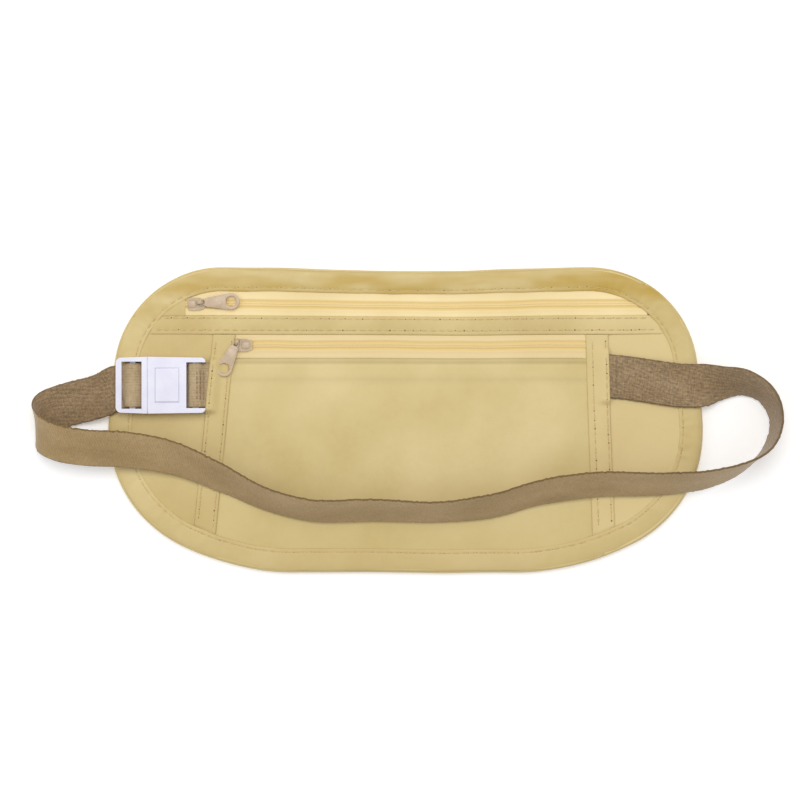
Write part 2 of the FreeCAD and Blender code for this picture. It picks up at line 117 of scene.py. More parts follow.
def flat_stations(*places):
    """Stations of webbing that lies flat in line with the buckle, from X and Z of each."""
    return [(x, BUCKLE_Y, z, 0.0, 1.0, 0.0) for x, z in places]


# The webbing's stations in millimetres: its middle, then the direction from its lower
# edge to its upper edge. The strap comes out from under the right strip, loops back over
# the pouch and ends in the plug.
STRAP = [
    (84.6, 19.4, 4.2, 0.10, 1.00, 0.00),
    (89.9, 18.8, 4.8, 0.10, 1.00, 0.00),
    (98.0, 17.9, 4.9, 0.12, 1.00, 0.00),
    (108.0, 16.4, 5.2, 0.12, 1.00, 0.00),
    (119.0, 14.9, 5.7, 0.08, 1.00, 0.01),
    (128.0, 14.9, 6.7, 0.06, 1.00, 0.14),
    (136.5, 16.0, 7.2, 0.14, 0.76, 0.60),
    (146.0, 16.2, 8.6, 0.30, 0.50, 0.82),
    (155.6, 11.0, 9.4, 0.25, 0.22, 0.93),
    (160.2, 0.0, 9.8, 0.15, 0.03, 0.98),
    (156.4, -12.0, 10.2, 0.04, 0.02, 0.99),
    (146.0, -20.4, 11.4, 0.00, 0.26, 0.96),
    (130.0, -25.6, 13.6, -0.04, 0.44, 0.90),
    (108.0, -27.6, 13.6, 0.00, 0.54, 0.84),
    (82.0, -27.8, 13.2, 0.05, 0.60, 0.80),
    (58.0, -31.2, 13.0, 0.15, 0.62, 0.78),
    (38.0, -36.8, 13.0, 0.15, 0.60, 0.79),
    (14.0, -39.6, 13.4, 0.00, 0.50, 0.86),
    (-14.0, -38.8, 13.4, 0.00, 0.54, 0.84),
    (-40.0, -39.0, 13.2, -0.06, 0.54, 0.84),
    (-60.0, -34.2, 12.6, -0.18, 0.60, 0.78),
    (-80.0, -24.9, 12.2, -0.20, 0.72, 0.66),
    (-100.0, -16.6, 12.6, -0.16, 0.78, 0.60),
    (-120.0, -12.8, 14.4, -0.08, 0.82, 0.56),
    (-138.0, -11.8, 16.6, 0.00, 0.84, 0.54),
    (-150.6, -9.6, 16.6, 0.02, 0.86, 0.50),
    (-158.2, -5.8, 12.8, 0.04, 0.88, 0.46),
    (-159.7, -1.4, 8.2, 0.00, 0.88, 0.46),
    (-155.4, 3.4, 4.2, -0.20, 0.95, 0.20),
    (-145.0, 7.2, 2.6, -0.16, 0.98, 0.06),
    (-136.0, 9.4, 4.0, -0.15, 0.99, 0.00),
    (-130.0, 11.6, 5.5, -0.13, 0.99, 0.00),
    (-125.8, 13.9, 5.7, -0.08, 1.00, 0.00),
    (-124.0, 14.6, 5.7, -0.04, 1.00, 0.00),
    *flat_stations(
        (-121.6, 7.0), (-119.6, 8.4), (-117.4, 8.4), (-115.6, 7.0), (-114.3, 5.7), (-112.6, 5.5)
    ),
]
# The strap is parted at this station, where the left loop turns back to the plug.
PARTING = 27
# The stub comes out from under the left strip, round the socket's bar and back in.
STUB = flat_stations(
    (-84.2, 4.6), (-87.2, 4.8), (-89.8, 4.9), (-91.7, 5.1), (-93.3, 5.8), (-93.8, 7.0),
    (-93.3, 8.2), (-91.7, 8.9), (-89.6, 8.7), (-88.5, 7.4), (-87.2, 6.2), (-84.2, 5.2),
)


# ---- materials


def srgb(red, green, blue):
    """A shader colour from 0 to 255 screen values."""
    values = [c / 255 for c in (red, green, blue)]
    return tuple(c / 12.92 if c <= 0.04045 else ((c + 0.055) / 1.055) ** 2.4 for c in values) + (1,)


def scaled(colour, factors):
    """A shader colour with its red, green and blue multiplied by factors."""
    return tuple(c * k for c, k in zip(colour, factors)) + (1,)


class Recipe:
    """One node material, with short ways to add and link its nodes."""

    def __init__(self, name, coords="Object"):
        self.material = bpy.data.materials.new(name)
        self.material.use_nodes = True
        self.tree = self.material.node_tree
        self.shader = self.tree.nodes["Principled BSDF"]
        self.place = self.add("TexCoord").outputs[coords]

    def feed(self, socket, value):
        """Links a socket to a node's output, or gives it a value."""
        if isinstance(value, bpy.types.NodeSocket):
            self.tree.links.new(value, socket)
        else:
            socket.default_value = value

    def add(self, kind, inputs=None, **settings):
        node = self.tree.nodes.new("ShaderNode" + kind)
        for key, value in settings.items():
            setattr(node, key, value)
        for key, value in (inputs or {}).items():
            self.feed(node.inputs[key], value)
        return node

    def noise(self, grain, detail=2.0, roughness=0.5):
        """Noise whose grains are about this size; grain is a length or one for each axis."""
        sizes = grain if isinstance(grain, tuple) else (grain, grain, grain)
        scale = tuple(1 / s for s in sizes)
        spread = self.add("Mapping", {"Vector": self.place, "Scale": scale})
        texture = self.add(
            "TexNoise",
            {
                "Vector": spread.outputs["Vector"], "Scale": 1.0, "Detail": detail,
                "Roughness": roughness,
            },
        )
        return texture.outputs["Fac"]

    def math(self, operation, a, b):
        return self.add("Math", {0: a, 1: b}, operation=operation).outputs[0]

    def times(self, a, b):
        return self.math("MULTIPLY", a, b)

    def plus(self, a, b):
        return self.math("ADD", a, b)

    def ramp(self, fac, *stops):
        """A colour ramp with these stops; a number stands for a grey."""
        node = self.add("ValToRGB", {"Fac": fac})
        points = node.color_ramp.elements
        while len(points) < len(stops):
            points.new(0.5)
        for point, (position, colour) in zip(points, stops):
            point.position = position
            point.color = colour if isinstance(colour, tuple) else (colour, colour, colour, 1)
        return node.outputs["Color"]

    def spread(self, fac, low, high):
        """From low to high over the range in which most of a noise lies."""
        return self.ramp(fac, (0.3, low), (0.7, high))

    def mix(self, fac, a, b, blend="MIX"):
        node = self.add("MixRGB", {"Fac": fac, "Color1": a, "Color2": b}, blend_type=blend)
        return node.outputs["Color"]

    def along(self, axis, start, end):
        """From 0 to 1 as the place goes from start to end along an axis."""
        parts = self.add("SeparateXYZ", {"Vector": self.place})
        node = self.add(
            "MapRange", {"Value": parts.outputs[axis], "From Min": start, "From Max": end}
        )
        return node.outputs["Result"]

    def bump(self, height, distance, strength=1.0, under=None):
        inputs = {"Height": height, "Distance": distance, "Strength": strength}
        if under is not None:
            inputs["Normal"] = under
        return self.add("Bump", inputs).outputs["Normal"]

    def finish(self, **sockets):
        """Sets the shader's sockets, written with _ for the spaces in their names."""
        for key, value in sockets.items():
            self.feed(self.shader.inputs[key.replace("_", " ")], value)
        return self.material


def woven(name, shade, pale, thread, rough, sheen, patch=38 * MM, tint=None):
    """Thin plain-woven nylon: fine threads both ways, broad mottling, soft creases. A
    tint takes the recipe and its colour and gives the colour changed in places."""
    recipe = Recipe(name)
    warp = recipe.noise((thread, thread * 14, thread * 14))
    weft = recipe.noise((thread * 14, thread, thread * 14))
    weave = recipe.plus(warp, weft)
    broad = recipe.noise(patch, 3.0)
    slub = recipe.noise(2.6 * MM, 4.0, 0.7)
    colour = recipe.ramp(broad, (0.32, shade), (0.68, pale))
    colour = recipe.mix(0.10, colour, recipe.spread(slub, 0.35, 0.65), "OVERLAY")
    colour = recipe.mix(0.14, colour, recipe.ramp(weave, (0.35, 0.3), (0.65, 0.7)), "OVERLAY")
    # Painted shade: the cloth is painted darker and browner towards the pouch's bottom.
    bottom_shade = scaled(shade, (0.90, 0.87, 0.80))
    bottom_shade_amount = recipe.along("Y", -20 * MM, -66 * MM)
    colour = recipe.mix(recipe.times(bottom_shade_amount, 0.45), colour, bottom_shade)
    if tint:
        colour = tint(recipe, colour)
    creases = recipe.bump(recipe.noise(7 * MM, 3.0), 0.35 * MM, 0.5)
    normal = recipe.bump(weave, 0.06 * MM, 0.5, creases)
    return recipe.finish(
        Base_Color=colour, Roughness=recipe.spread(slub, rough - 0.06, rough + 0.08),
        Normal=normal, Sheen_Weight=sheen, Sheen_Roughness=0.45, Specular_IOR_Level=0.32,
    )


def chain_tint(recipe, colour):
    """A zip tape is mustard where the coil shows beside the chain and is sewn on, and the lower
    zipper's tapes are painted darker, as painted shade. Its UVs run in metres along and away from
    the chain."""
    away = recipe.add("SeparateXYZ", {"Vector": recipe.add("TexCoord").outputs["UV"]})
    share = recipe.math("DIVIDE", away.outputs["Y"], TAPE_REACH)
    near = recipe.ramp(share, (0.0, 0.45), (0.07, 0.35), (0.13, 0.9), (0.17, 0.9), (0.29, 0.0))
    # Painted shade: the lower zipper's tapes are mixed towards a darker colour.
    lower = recipe.times(recipe.along("Y", BAND_LOW + 1 * MM, BAND_LOW - 1 * MM), 0.5)
    return recipe.mix(near, recipe.mix(lower, colour, LOWER_TAPE_SHADE), MUSTARD)


def border_shade_tint(recipe, colour):
    """Painted shade: the top border is painted a darker mustard in long patches, more so towards
    the right.
    """
    patches = recipe.noise((34 * MM, 9 * MM, 30 * MM), 2.0)
    high_up = recipe.along("Y", 38 * MM, 56 * MM)
    inner = recipe.along("Y", 67 * MM, 62 * MM)
    to_right = recipe.times(recipe.along("X", 20 * MM, 70 * MM), 0.4)
    patches = recipe.plus(recipe.ramp(patches, (0.42, 0.0), (0.66, 0.8)), to_right)
    amount = recipe.times(patches, high_up)
    amount = recipe.times(amount, inner)
    return recipe.mix(amount, colour, BORDER_SHADE_GOLD)


def fold_shade_tint(recipe, colour):
    """Painted shade: the pocket's rolled top edge is painted darker than the cloth below it,
    and so is the line where its hem ends."""
    start, reach = HEM_LOW - 3 * MM, PANEL_TOP - HEM_LOW + 3 * MM
    hem, fold = (HEM_LOW - start) / reach, (FOLD_LOW - start) / reach
    shade = recipe.ramp(
        recipe.along("Y", start, PANEL_TOP), (0.0, 1.0), (hem, 0.95), (2 * hem, 1.0),
        (fold - 0.07, 1.0), (fold + 0.01, 0.87),
    )
    return recipe.mix(1.0, colour, shade, "MULTIPLY")


def right_tint(recipe, colour):
    """The pouch is a shade paler on its right."""
    amount = recipe.times(recipe.along("X", 70 * MM, 84 * MM), 0.5)
    return recipe.mix(amount, colour, PALE_CLOTH)


# Metres from band to band of a wave texture whose scale is 1.
BAND_GAP = 0.314


def webbing_face(name, shade, pale, fleck, flecks, rib, diagonal, ribbed, contrast, hem):
    """Narrow woven webbing, textured along its UVs: ribs, flecks and darker selvedges.
    Ribbed is how much the ribs count beside the threads, contrast how much both show,
    and hem how dark the selvedges are."""
    recipe = Recipe(name, "UV")
    slant = recipe.add(
        "Mapping", {"Vector": recipe.place, "Rotation": (0, 0, math.radians(diagonal))}
    )
    ribs = recipe.add(
        "TexWave",
        {
            "Vector": slant.outputs["Vector"], "Scale": BAND_GAP / rib, "Distortion": 1.6,
            "Detail": 2.0, "Detail Scale": 1.5,
        },
        bands_direction="X",
    ).outputs["Fac"]
    cross = recipe.noise((3.2 * MM, 0.55 * MM, 1.0), 2.0, 0.6)
    long_threads = recipe.noise((0.7 * MM, 2.6 * MM, 1.0), 2.0, 0.6)
    weave = recipe.plus(recipe.times(ribs, ribbed), cross)
    weave = recipe.plus(weave, long_threads)
    specks = recipe.noise((0.9 * MM, 0.7 * MM, 1.0), 4.0, 0.75)
    broad = recipe.noise((30 * MM, 12 * MM, 1.0), 2.0)
    colour = recipe.spread(broad, shade, pale)
    colour = recipe.mix(recipe.ramp(specks, (0.52, 0.0), (0.74, flecks)), colour, fleck)
    middle = 1.0 + ribbed / 2
    relief = recipe.add(
        "MapRange",
        {
            "Value": weave, "From Min": middle - 0.45, "From Max": middle + 0.45, "To Min": 0.2,
            "To Max": 0.8,
        },
    ).outputs["Result"]
    colour = recipe.mix(contrast, colour, relief, "OVERLAY")
    edge = recipe.along("Y", 0.0, WEB_WIDTH)
    edge = recipe.math("ABSOLUTE", recipe.math("SUBTRACT", edge, 0.5), 0.0)
    edge = recipe.plus(edge, recipe.times(specks, 0.02))
    edge = recipe.plus(edge, recipe.times(recipe.noise(1.1 * MM), 0.07))
    selvedge = scaled(shade, (0.50, 0.44, 0.34))
    colour = recipe.mix(recipe.ramp(edge, (0.505, 0.0), (0.53, hem)), colour, selvedge)
    return recipe.finish(
        Base_Color=colour, Roughness=recipe.spread(specks, 0.62, 0.86),
        Normal=recipe.bump(weave, 0.16 * MM, 0.7), Sheen_Weight=0.25, Sheen_Roughness=0.5,
        Specular_IOR_Level=0.3,
    )


def moulded(name, shade, pale):
    """Glossy moulded plastic with a faint orange-peel surface and slightly uneven tint."""
    recipe = Recipe(name)
    cloud = recipe.noise(9 * MM, 2.0)
    peel = recipe.noise(0.7 * MM, 3.0)
    return recipe.finish(
        Base_Color=recipe.spread(cloud, shade, pale), Roughness=recipe.spread(peel, 0.26, 0.40),
        Normal=recipe.bump(peel, 0.03 * MM, 0.35), Specular_IOR_Level=0.5, Subsurface_Weight=0.15,
        Subsurface_Radius=(1.2 * MM, 1.0 * MM, 0.9 * MM), Subsurface_Scale=1.0,
    )


def enamel(name, shade, pale, bare):
    """Painted metal: a satin coat, with the colour thinner and shinier in worn spots."""
    recipe = Recipe(name)
    cloud = recipe.noise(3 * MM, 3.0)
    worn = recipe.ramp(recipe.noise(1.1 * MM, 4.0, 0.7), (0.62, 0.0), (0.72, 0.5))
    colour = recipe.spread(cloud, shade, pale)
    return recipe.finish(
        Base_Color=recipe.mix(worn, colour, bare), Metallic=recipe.times(worn, 0.6),
        Roughness=recipe.spread(cloud, 0.30, 0.44),
        Normal=recipe.bump(cloud, 0.05 * MM, 0.3), Coat_Weight=0.25, Coat_Roughness=0.2,
    )


def twisted(name, shade, pale):
    """Sewing thread: plies that catch the light."""
    recipe = Recipe(name)
    plies = recipe.noise((0.5 * MM, 0.5 * MM, 0.5 * MM), 2.0)
    return recipe.finish(
        Base_Color=recipe.spread(plies, shade, pale), Roughness=recipe.spread(plies, 0.5, 0.7),
        Normal=recipe.bump(plies, 0.05 * MM, 0.6), Sheen_Weight=0.2,
    )


PALE_CLOTH = srgb(228, 206, 152)
POUCH_CLOTH = woven(
    "pouch_weave", srgb(200, 175, 118), srgb(216, 193, 137), thread=0.24 * MM, rough=0.6,
    sheen=0.15, tint=right_tint,
)
# The pocket's cloth takes painted shade at its fold and hem.
POCKET_CLOTH = woven(
    "pocket_weave", srgb(205, 182, 124), srgb(220, 199, 144), thread=0.24 * MM, rough=0.6,
    sheen=0.15, tint=fold_shade_tint,
)
LINING_CLOTH = woven(
    "lining_weave", srgb(196, 172, 120), srgb(210, 188, 138), thread=0.3 * MM, rough=0.7, sheen=0.1,
)
TAPE_REACH = 8.6 * MM
MUSTARD = srgb(230, 199, 128)
# Painted shade for the lower zipper's tapes.
LOWER_TAPE_SHADE = srgb(218, 193, 142)
# Painted shade for the top border.
BORDER_SHADE_GOLD = srgb(192, 161, 78)
BINDING_TAPE = woven(
    "binding_weave", srgb(204, 180, 122), srgb(217, 194, 140), thread=0.2 * MM, rough=0.5,
    sheen=0.15, patch=24 * MM, tint=border_shade_tint,
)
ZIP_TAPE = woven(
    "zip_tape_weave", srgb(236, 211, 153), srgb(248, 225, 170), thread=0.3 * MM, rough=0.55,
    sheen=0.2, tint=chain_tint,
)
WEB_SMOOTH = webbing_face(
    "webbing_smooth", srgb(155, 128, 84), srgb(173, 146, 103), srgb(186, 161, 120), flecks=0.30,
    rib=1.1 * MM, diagonal=24, ribbed=0.25, contrast=0.35, hem=0.9,
)
WEB_COARSE = webbing_face(
    "webbing_coarse", srgb(132, 108, 76), srgb(156, 132, 100), srgb(194, 174, 143), flecks=0.55,
    rib=1.7 * MM, diagonal=-74, ribbed=0.14, contrast=0.85, hem=0.6,
)
WEB_TAIL = webbing_face(
    "webbing_tail", srgb(172, 149, 114), srgb(188, 166, 130), srgb(206, 188, 156), flecks=0.35,
    rib=1.2 * MM, diagonal=90, ribbed=0.15, contrast=0.45, hem=0.25,
)
PLASTIC = moulded("buckle_plastic_satin", srgb(228, 226, 243), srgb(236, 235, 248))
ENAMEL = enamel("pull_enamel_satin", srgb(190, 166, 137), srgb(204, 180, 151), srgb(220, 206, 186))
# A darker copy of the pull's enamel for the slider bodies and bails: painted shade beside the paler
# crowns.
SHADED_ENAMEL = enamel(
    "slider_enamel_dull", srgb(178, 156, 124), srgb(198, 176, 144), srgb(220, 206, 184)
)
COIL = moulded("coil_nylon", srgb(226, 196, 120), srgb(238, 212, 142))
THREAD_PALE = twisted("thread_pale", srgb(200, 172, 108), srgb(222, 198, 142))
THREAD_BROWN = twisted("thread_brown", srgb(122, 97, 68), srgb(154, 128, 96))
# Painted shadow for the needle holes.
NEEDLE_HOLE_SHADOW = twisted("needle_hole_shadow", srgb(104, 80, 42), srgb(146, 118, 72))

# ---- mesh helpers


def add_object(name, data):
    """An object with this data, linked into the scene."""
    thing = bpy.data.objects.new(name, data)
    bpy.context.scene.collection.objects.link(thing)
    return thing


def place_in_scene(name, mesh, body, slot, stands_for):
    """Adds a mesh as a piece that rides on a body, where it has one, and hides what it stands for.
    Its slot is not used.
    """
    piece = add_object(name, mesh)
    if body:
        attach(piece, body)
    if stands_for:
        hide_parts(*stands_for)
    return piece


def new_piece(name, points, faces, materials, slot, stands_for=(), body="pouch"):
    """A smooth piece from points and faces."""
    mesh = bpy.data.meshes.new(name)
    mesh.from_pydata([tuple(p) for p in points], [], faces)
    mesh.validate()
    for material in materials:
        mesh.materials.append(material)
    mesh.shade_smooth()
    return place_in_scene(name, mesh, body, slot, stands_for)


def build_piece(build, name, body, material, slot, stands_for=()):
    """A hard piece from a bmesh, with its sharper edges kept."""
    mesh = bpy.data.meshes.new(name)
    build.to_mesh(mesh)
    build.free()
    mesh.shade_smooth()
    mesh.set_sharp_from_angle(angle=math.radians(38))
    mesh.materials.append(material)
    return place_in_scene(name, mesh, body, slot, stands_for)


def lay_uvs(piece, places):
    """Gives each corner the UV place of its vertex."""
    uvs = piece.data.uv_layers.new(name="UVMap")
    for loop in piece.data.loops:
        uvs.data[loop.index].uv = places[loop.vertex_index]


def grid_faces(columns, rows):
    wide = columns + 1
    return [
        (j * wide + i, j * wide + i + 1, (j + 1) * wide + i + 1, (j + 1) * wide + i)
        for j in range(rows)
        for i in range(columns)
    ]


def ring_faces(rings, size, closed):
    """Faces between rings of points, joined end to end when closed, capped when not."""
    faces = []
    for r in range(rings if closed else rings - 1):
        a, b = r * size, (r + 1) % rings * size
        for k in range(size):
            n = (k + 1) % size
            faces.append((a + k, a + n, b + n, b + k))
    if not closed:
        faces.append(tuple(range(size - 1, -1, -1)))
        faces.append(tuple((rings - 1) * size + k for k in range(size)))
    return faces


def smooth(value, start, end):
    """0 before start, 1 after end, and an even rise between them."""
    t = min(1.0, max(0.0, (value - start) / (end - start)))
    return t * t * (3 - 2 * t)


def wander(x, y, size, seed):
    """Smooth noise from -1 to 1 whose hills are about this size."""
    return noise.noise(Vector((x / size, y / size, seed)))


def turns(count):
    """Angles spread evenly round a circle."""
    return [2 * math.pi * k / count for k in range(count)]


def bell(distance, width):
    """1 where the distance is 0, falling away evenly on both sides."""
    return math.exp(-((distance / width) ** 2))


def blend_between(a, b, share):
    return a + (b - a) * share


# ---- the pouch's shape


def right_arcs():
    """The right half of the outline: centre, radius, first and last angle of each arc."""
    x, y, angle = TOP_LINE_HALF, HALF_HEIGHT, math.pi / 2
    arcs = []
    for radius, turn in OUTLINE_ARCS:
        cx = x - radius * math.cos(angle)
        cy = y - radius * math.sin(angle)
        arcs.append((cx, cy, radius, angle, angle - math.radians(turn)))
        angle -= math.radians(turn)
        x = cx + radius * math.cos(angle)
        y = cy + radius * math.sin(angle)
    last = (y + HALF_HEIGHT) / (1 + math.sin(angle))
    cx = x - last * math.cos(angle)
    cy = y - last * math.sin(angle)
    arcs.append((cx, cy, last, angle, -math.pi / 2))
    return arcs


ARCS = right_arcs()
BOTTOM_LINE_HALF = ARCS[-1][0]


def half_width(y, inset):
    """Half the pouch's width at height y, for the outline moved inwards by inset."""
    for cx, cy, radius, first, last in ARCS:
        r = radius - inset
        if y >= cy + r * math.sin(last):
            sine = min(1.0, (y - cy) / r)
            return cx + math.sqrt(1 - sine * sine) * r
    return BOTTOM_LINE_HALF


def outline_run(step):
    """Points right round the outline from its top middle: x, y, outward normal, bend."""
    right = []

    def line(x0, x1, y, ny):
        count = round(abs(x1 - x0) / step)
        for i in range(count):
            right.append((blend_between(x0, x1, i / count), y, 0.0, ny, 0.0))

    line(0.0, TOP_LINE_HALF, HALF_HEIGHT, 1.0)
    for cx, cy, radius, first, last in ARCS:
        count = round(radius * (first - last) / step)
        for i in range(count):
            a = blend_between(first, last, i / count)
            nx, ny = math.cos(a), math.sin(a)
            right.append((cx + radius * nx, cy + radius * ny, nx, ny, 1 / radius))
    line(BOTTOM_LINE_HALF, 0.0, -HALF_HEIGHT, -1.0)
    right.append((0.0, -HALF_HEIGHT, 0.0, -1.0, 0.0))
    left = [(-x, y, -nx, ny, bend) for x, y, nx, ny, bend in right[-2:0:-1]]
    return right + left


TOP_DIP = 1.4 * MM


def laid(x, y):
    """Where a point of the flat pattern lies: the top edge sags in its middle, and the
    cloth wanders a little everywhere."""
    middle = max(0.0, 1 - (x / (TOP_LINE_HALF + 12 * MM)) ** 2)
    dip = TOP_DIP * middle * middle * smooth(y, 36 * MM, HALF_HEIGHT)
    side = wander(x, y, 55 * MM, 3.1) * 0.5 * MM
    up = wander(x, y, 48 * MM, 7.7) * 0.5 * MM
    return x + side, y - dip + up


# Where the buckle and the strap's sewn end lie close over the cloth.
COVERED = (
    (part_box("buckle_plug")[0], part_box("buckle_socket")[1]),
    (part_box("strap_tack_right")[0], Vector((130 * MM, 28 * MM, 0))),
)


def quiet(x, y):
    """1 on open cloth, 0 where something lies close over it."""
    loud = 1.0
    for low, high in COVERED:
        away = max(low.x - x, x - high.x, low.y - y, y - high.y)
        loud = min(loud, smooth(away, 0, 14 * MM))
    return loud


def sag(x, y):
    """How far the front cloth stands above its level: hollows and hills, and a pocket
    that is slightly full in its middle."""
    hills = wander(x, y, 42 * MM, 1.3) * 0.42 + wander(x, y, 17 * MM, 5.9) * 0.16
    full = math.exp(-((x / (58 * MM)) ** 2) - ((y - 4 * MM) / (19 * MM)) ** 2)
    return (hills * MM + full * 0.9 * MM) * (0.15 + 0.85 * quiet(x, y))


def stitch_dip(distance, run, depth=0.2 * MM, width=0.9 * MM):
    """A seam's furrow, deepest at each needle hole along the run."""
    beat = 0.65 + 0.35 * math.cos(2 * math.pi * run / STITCH)
    return -depth * beat * bell(distance, width)


def fold_drop(distance, depth=0.3 * MM, width=0.4 * MM):
    """How a folded edge rounds down at its rim."""
    return -depth * math.exp(-max(0.0, distance) / width)


def strip_edge(side, inset, y):
    """X of a strip's edge at height y; inset counts from its outer edge."""
    top, low = STRIP_EDGES[side]
    share = (BAND_LOW - y) / STRIP_FALL
    return top + (low - top) * share - side * inset


def cloth_sheet(
    name, sides, low, high, level, step, node, material=POUCH_CLOTH,
    slot="pouch_cloth",
):
    """A sheet between the two X of sides(y), with its top at level(x, y) on the pattern."""
    rows = max(FEWEST_CELLS, round((high - low) / step))
    spans = [sides(blend_between(low, high, k / 8)) for k in range(9)]
    widest = max(right - left for left, right in spans)
    columns = max(FEWEST_CELLS, round(widest / step))
    points = []
    for j in range(rows + 1):
        y = blend_between(low, high, j / rows)
        x0, x1 = sides(y)
        for i in range(columns + 1):
            x = blend_between(x0, x1, i / columns)
            points.append((*laid(x, y), level(x, y)))
    piece = new_piece(name, points, grid_faces(columns, rows), [material], slot, [node])
    thicken(piece, CLOTH)


def thicken(piece, thick):
    """Gives a sheet its thickness, downwards from its face."""
    shell = piece.modifiers.new("cloth", "SOLIDIFY")
    shell.thickness = thick
    shell.offset = -1
    shell.use_even_offset = False


# ---- cloth panels


def cloth_edges(y):
    """X of the pouch cloth's left and right edges, inside the binding."""
    reach = half_width(y, CLOTH_INSET)
    return -reach, reach


def panel_lines(y):
    """X of the two lines where the front panels meet under the strips."""
    return strip_edge(-1, STRIP_WIDTH / 2, y), strip_edge(1, STRIP_WIDTH / 2, y)


def inner_sheets():
    """The pocket's back, which is the pouch's back, and the lining between the pockets."""
    full = HALF_HEIGHT - CLOTH_INSET
    for name, node, material, slot, seed in (
        ("back_cloth", "back_panel", POUCH_CLOTH, "pouch_cloth", 11.0),
        ("lining_cloth", "pocket_lining", LINING_CLOTH, "lining_cloth", 23.0),
    ):
        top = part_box(node)[1].z

        def level(x, y, top=top, seed=seed):
            return top + wander(x, y, 30 * MM, seed) * 0.2 * MM

        cloth_sheet(
            name, cloth_edges, -full, full, level, 1.6 * MM, node, material, slot
        )


def facing_level(x, y):
    return FRONT + 0.05 * MM + sag(x, y) * 0.7


def facing_sides(y):
    """The facing stops short of the zipper, and runs right across under the border."""
    left, right = cloth_edges(y)
    return left, FACING_RIGHT if y < HALF_HEIGHT - BINDING_WIDTH + 1.6 * MM else right


def facing():
    """The cloth under the top border, which comes down beside the upper zipper's end."""
    high = HALF_HEIGHT - CLOTH_INSET
    low = BAND_TOP - 0.6 * MM
    cloth_sheet(
        "facing_cloth", facing_sides, low, high, facing_level, 1.0 * MM, "top_facing"
    )


BAND_SEAMS = (BAND_TOP - 1.3 * MM, BAND_LOW + 2.0 * MM)
BAND_RISE = 0.18 * MM


def band_level(x, y):
    """The band between the zippers: both edges folded under and sewn down."""
    level = FRONT + BAND_RISE + sag(x, y) * 0.8
    level += fold_drop(y - BAND_LOW, 0.34 * MM) + fold_drop(BAND_TOP - y, 0.34 * MM)
    for seam in BAND_SEAMS:
        level += stitch_dip(y - seam, x, 0.16 * MM)
    between = bell(y - sum(BAND_SEAMS) / 2, 1.8 * MM)
    level -= 0.25 * MM * under_binding(x, y)
    return level + between * (0.12 + 0.12 * wander(x, 0, 9 * MM, 4.4)) * MM


def zip_band():
    """The cloth between the two zippers."""
    cloth_sheet(
        "band_cloth", cloth_edges, BAND_LOW, BAND_TOP, band_level, 0.5 * MM, "zip_band"
    )


def under_binding(x, y):
    """1 where the binding covers the cloth, 0 clear of it."""
    return 1 - smooth(half_width(y, BINDING_WIDTH) - abs(x), -0.5 * MM, 2.5 * MM)


def held_down(x, y):
    """Cloth pulled down where it runs in under a strip."""
    nearest = min(
        abs(x - strip_edge(side, inset, y))
        for side in (-1, 1)
        for inset in (0, STRIP_WIDTH)
    )
    return -0.36 * MM * math.exp(-nearest / (2.8 * MM))


def side_level(x, y):
    tucked = -0.25 * MM * math.exp(-(BAND_LOW - y) / (2.0 * MM))
    return FRONT + sag(x, y) + held_down(x, y) + tucked


def panel_level(x, y):
    """The pocket's front: a folded top edge, a hem below it, then the open cloth."""
    fold = 0.22 * MM * bell(PANEL_TOP - 1.2 * MM - y, 1.0 * MM)
    hem = 0.16 * MM * smooth(y, HEM_LOW - 0.5 * MM, HEM_LOW + 0.5 * MM)
    puff = 0.10 * MM * wander(x, y * 0.3, 8 * MM, 8.2) * smooth(y, HEM_LOW, PANEL_TOP)
    crease = 0.24 * MM * bell(FOLD_LOW - y, 0.45 * MM)
    rim = fold_drop(PANEL_TOP - y, 0.4 * MM)
    return FRONT + sag(x, y) + held_down(x, y) + fold + hem + puff + rim - crease


def left_sides(y):
    left = cloth_edges(y)[0]
    return left, max(panel_lines(y)[0], left + 0.5 * MM)


def right_sides(y):
    right = cloth_edges(y)[1]
    return min(panel_lines(y)[1], right - 0.5 * MM), right


def pocket_sides(y):
    return max(panel_lines(y)[0], cloth_edges(y)[0]), min(panel_lines(y)[1], cloth_edges(y)[1])


def front_panels():
    """The pocket's front and the two plain panels beside it."""
    low = -HALF_HEIGHT + CLOTH_INSET
    side_top = BAND_LOW + 1 * MM
    for label, sides in (("left", left_sides), ("right", right_sides)):
        cloth_sheet(
            "side_cloth_" + label, sides, low, side_top, side_level, 1.0 * MM,
            "side_panel_" + label,
        )
    flat = (panel_lines(low)[1] - panel_lines(low)[0], PANEL_TOP - low)
    cloth_sheet(
        "pocket_cloth", pocket_sides, low, PANEL_TOP, panel_level, 0.8 * MM, "pocket_panel",
        POCKET_CLOTH, "pocket_cloth",
    )


# ---- strips

# The binding covers the strips' lower ends, which stop this far in from the rim.
STRIP_END_INSET = 7 * MM
# How far in from its outer edge each strip is sewn.
STRIP_SEAMS = {-1: (1.6 * MM, 8.3 * MM), 1: (1.3 * MM, 7.0 * MM)}
# Where webbing lies under a strip: side, its middle Y and how far it lifts the strip.
TUCKS = {-1: (15.0 * MM, 2.2 * MM), 1: (19.2 * MM, 1.35 * MM)}


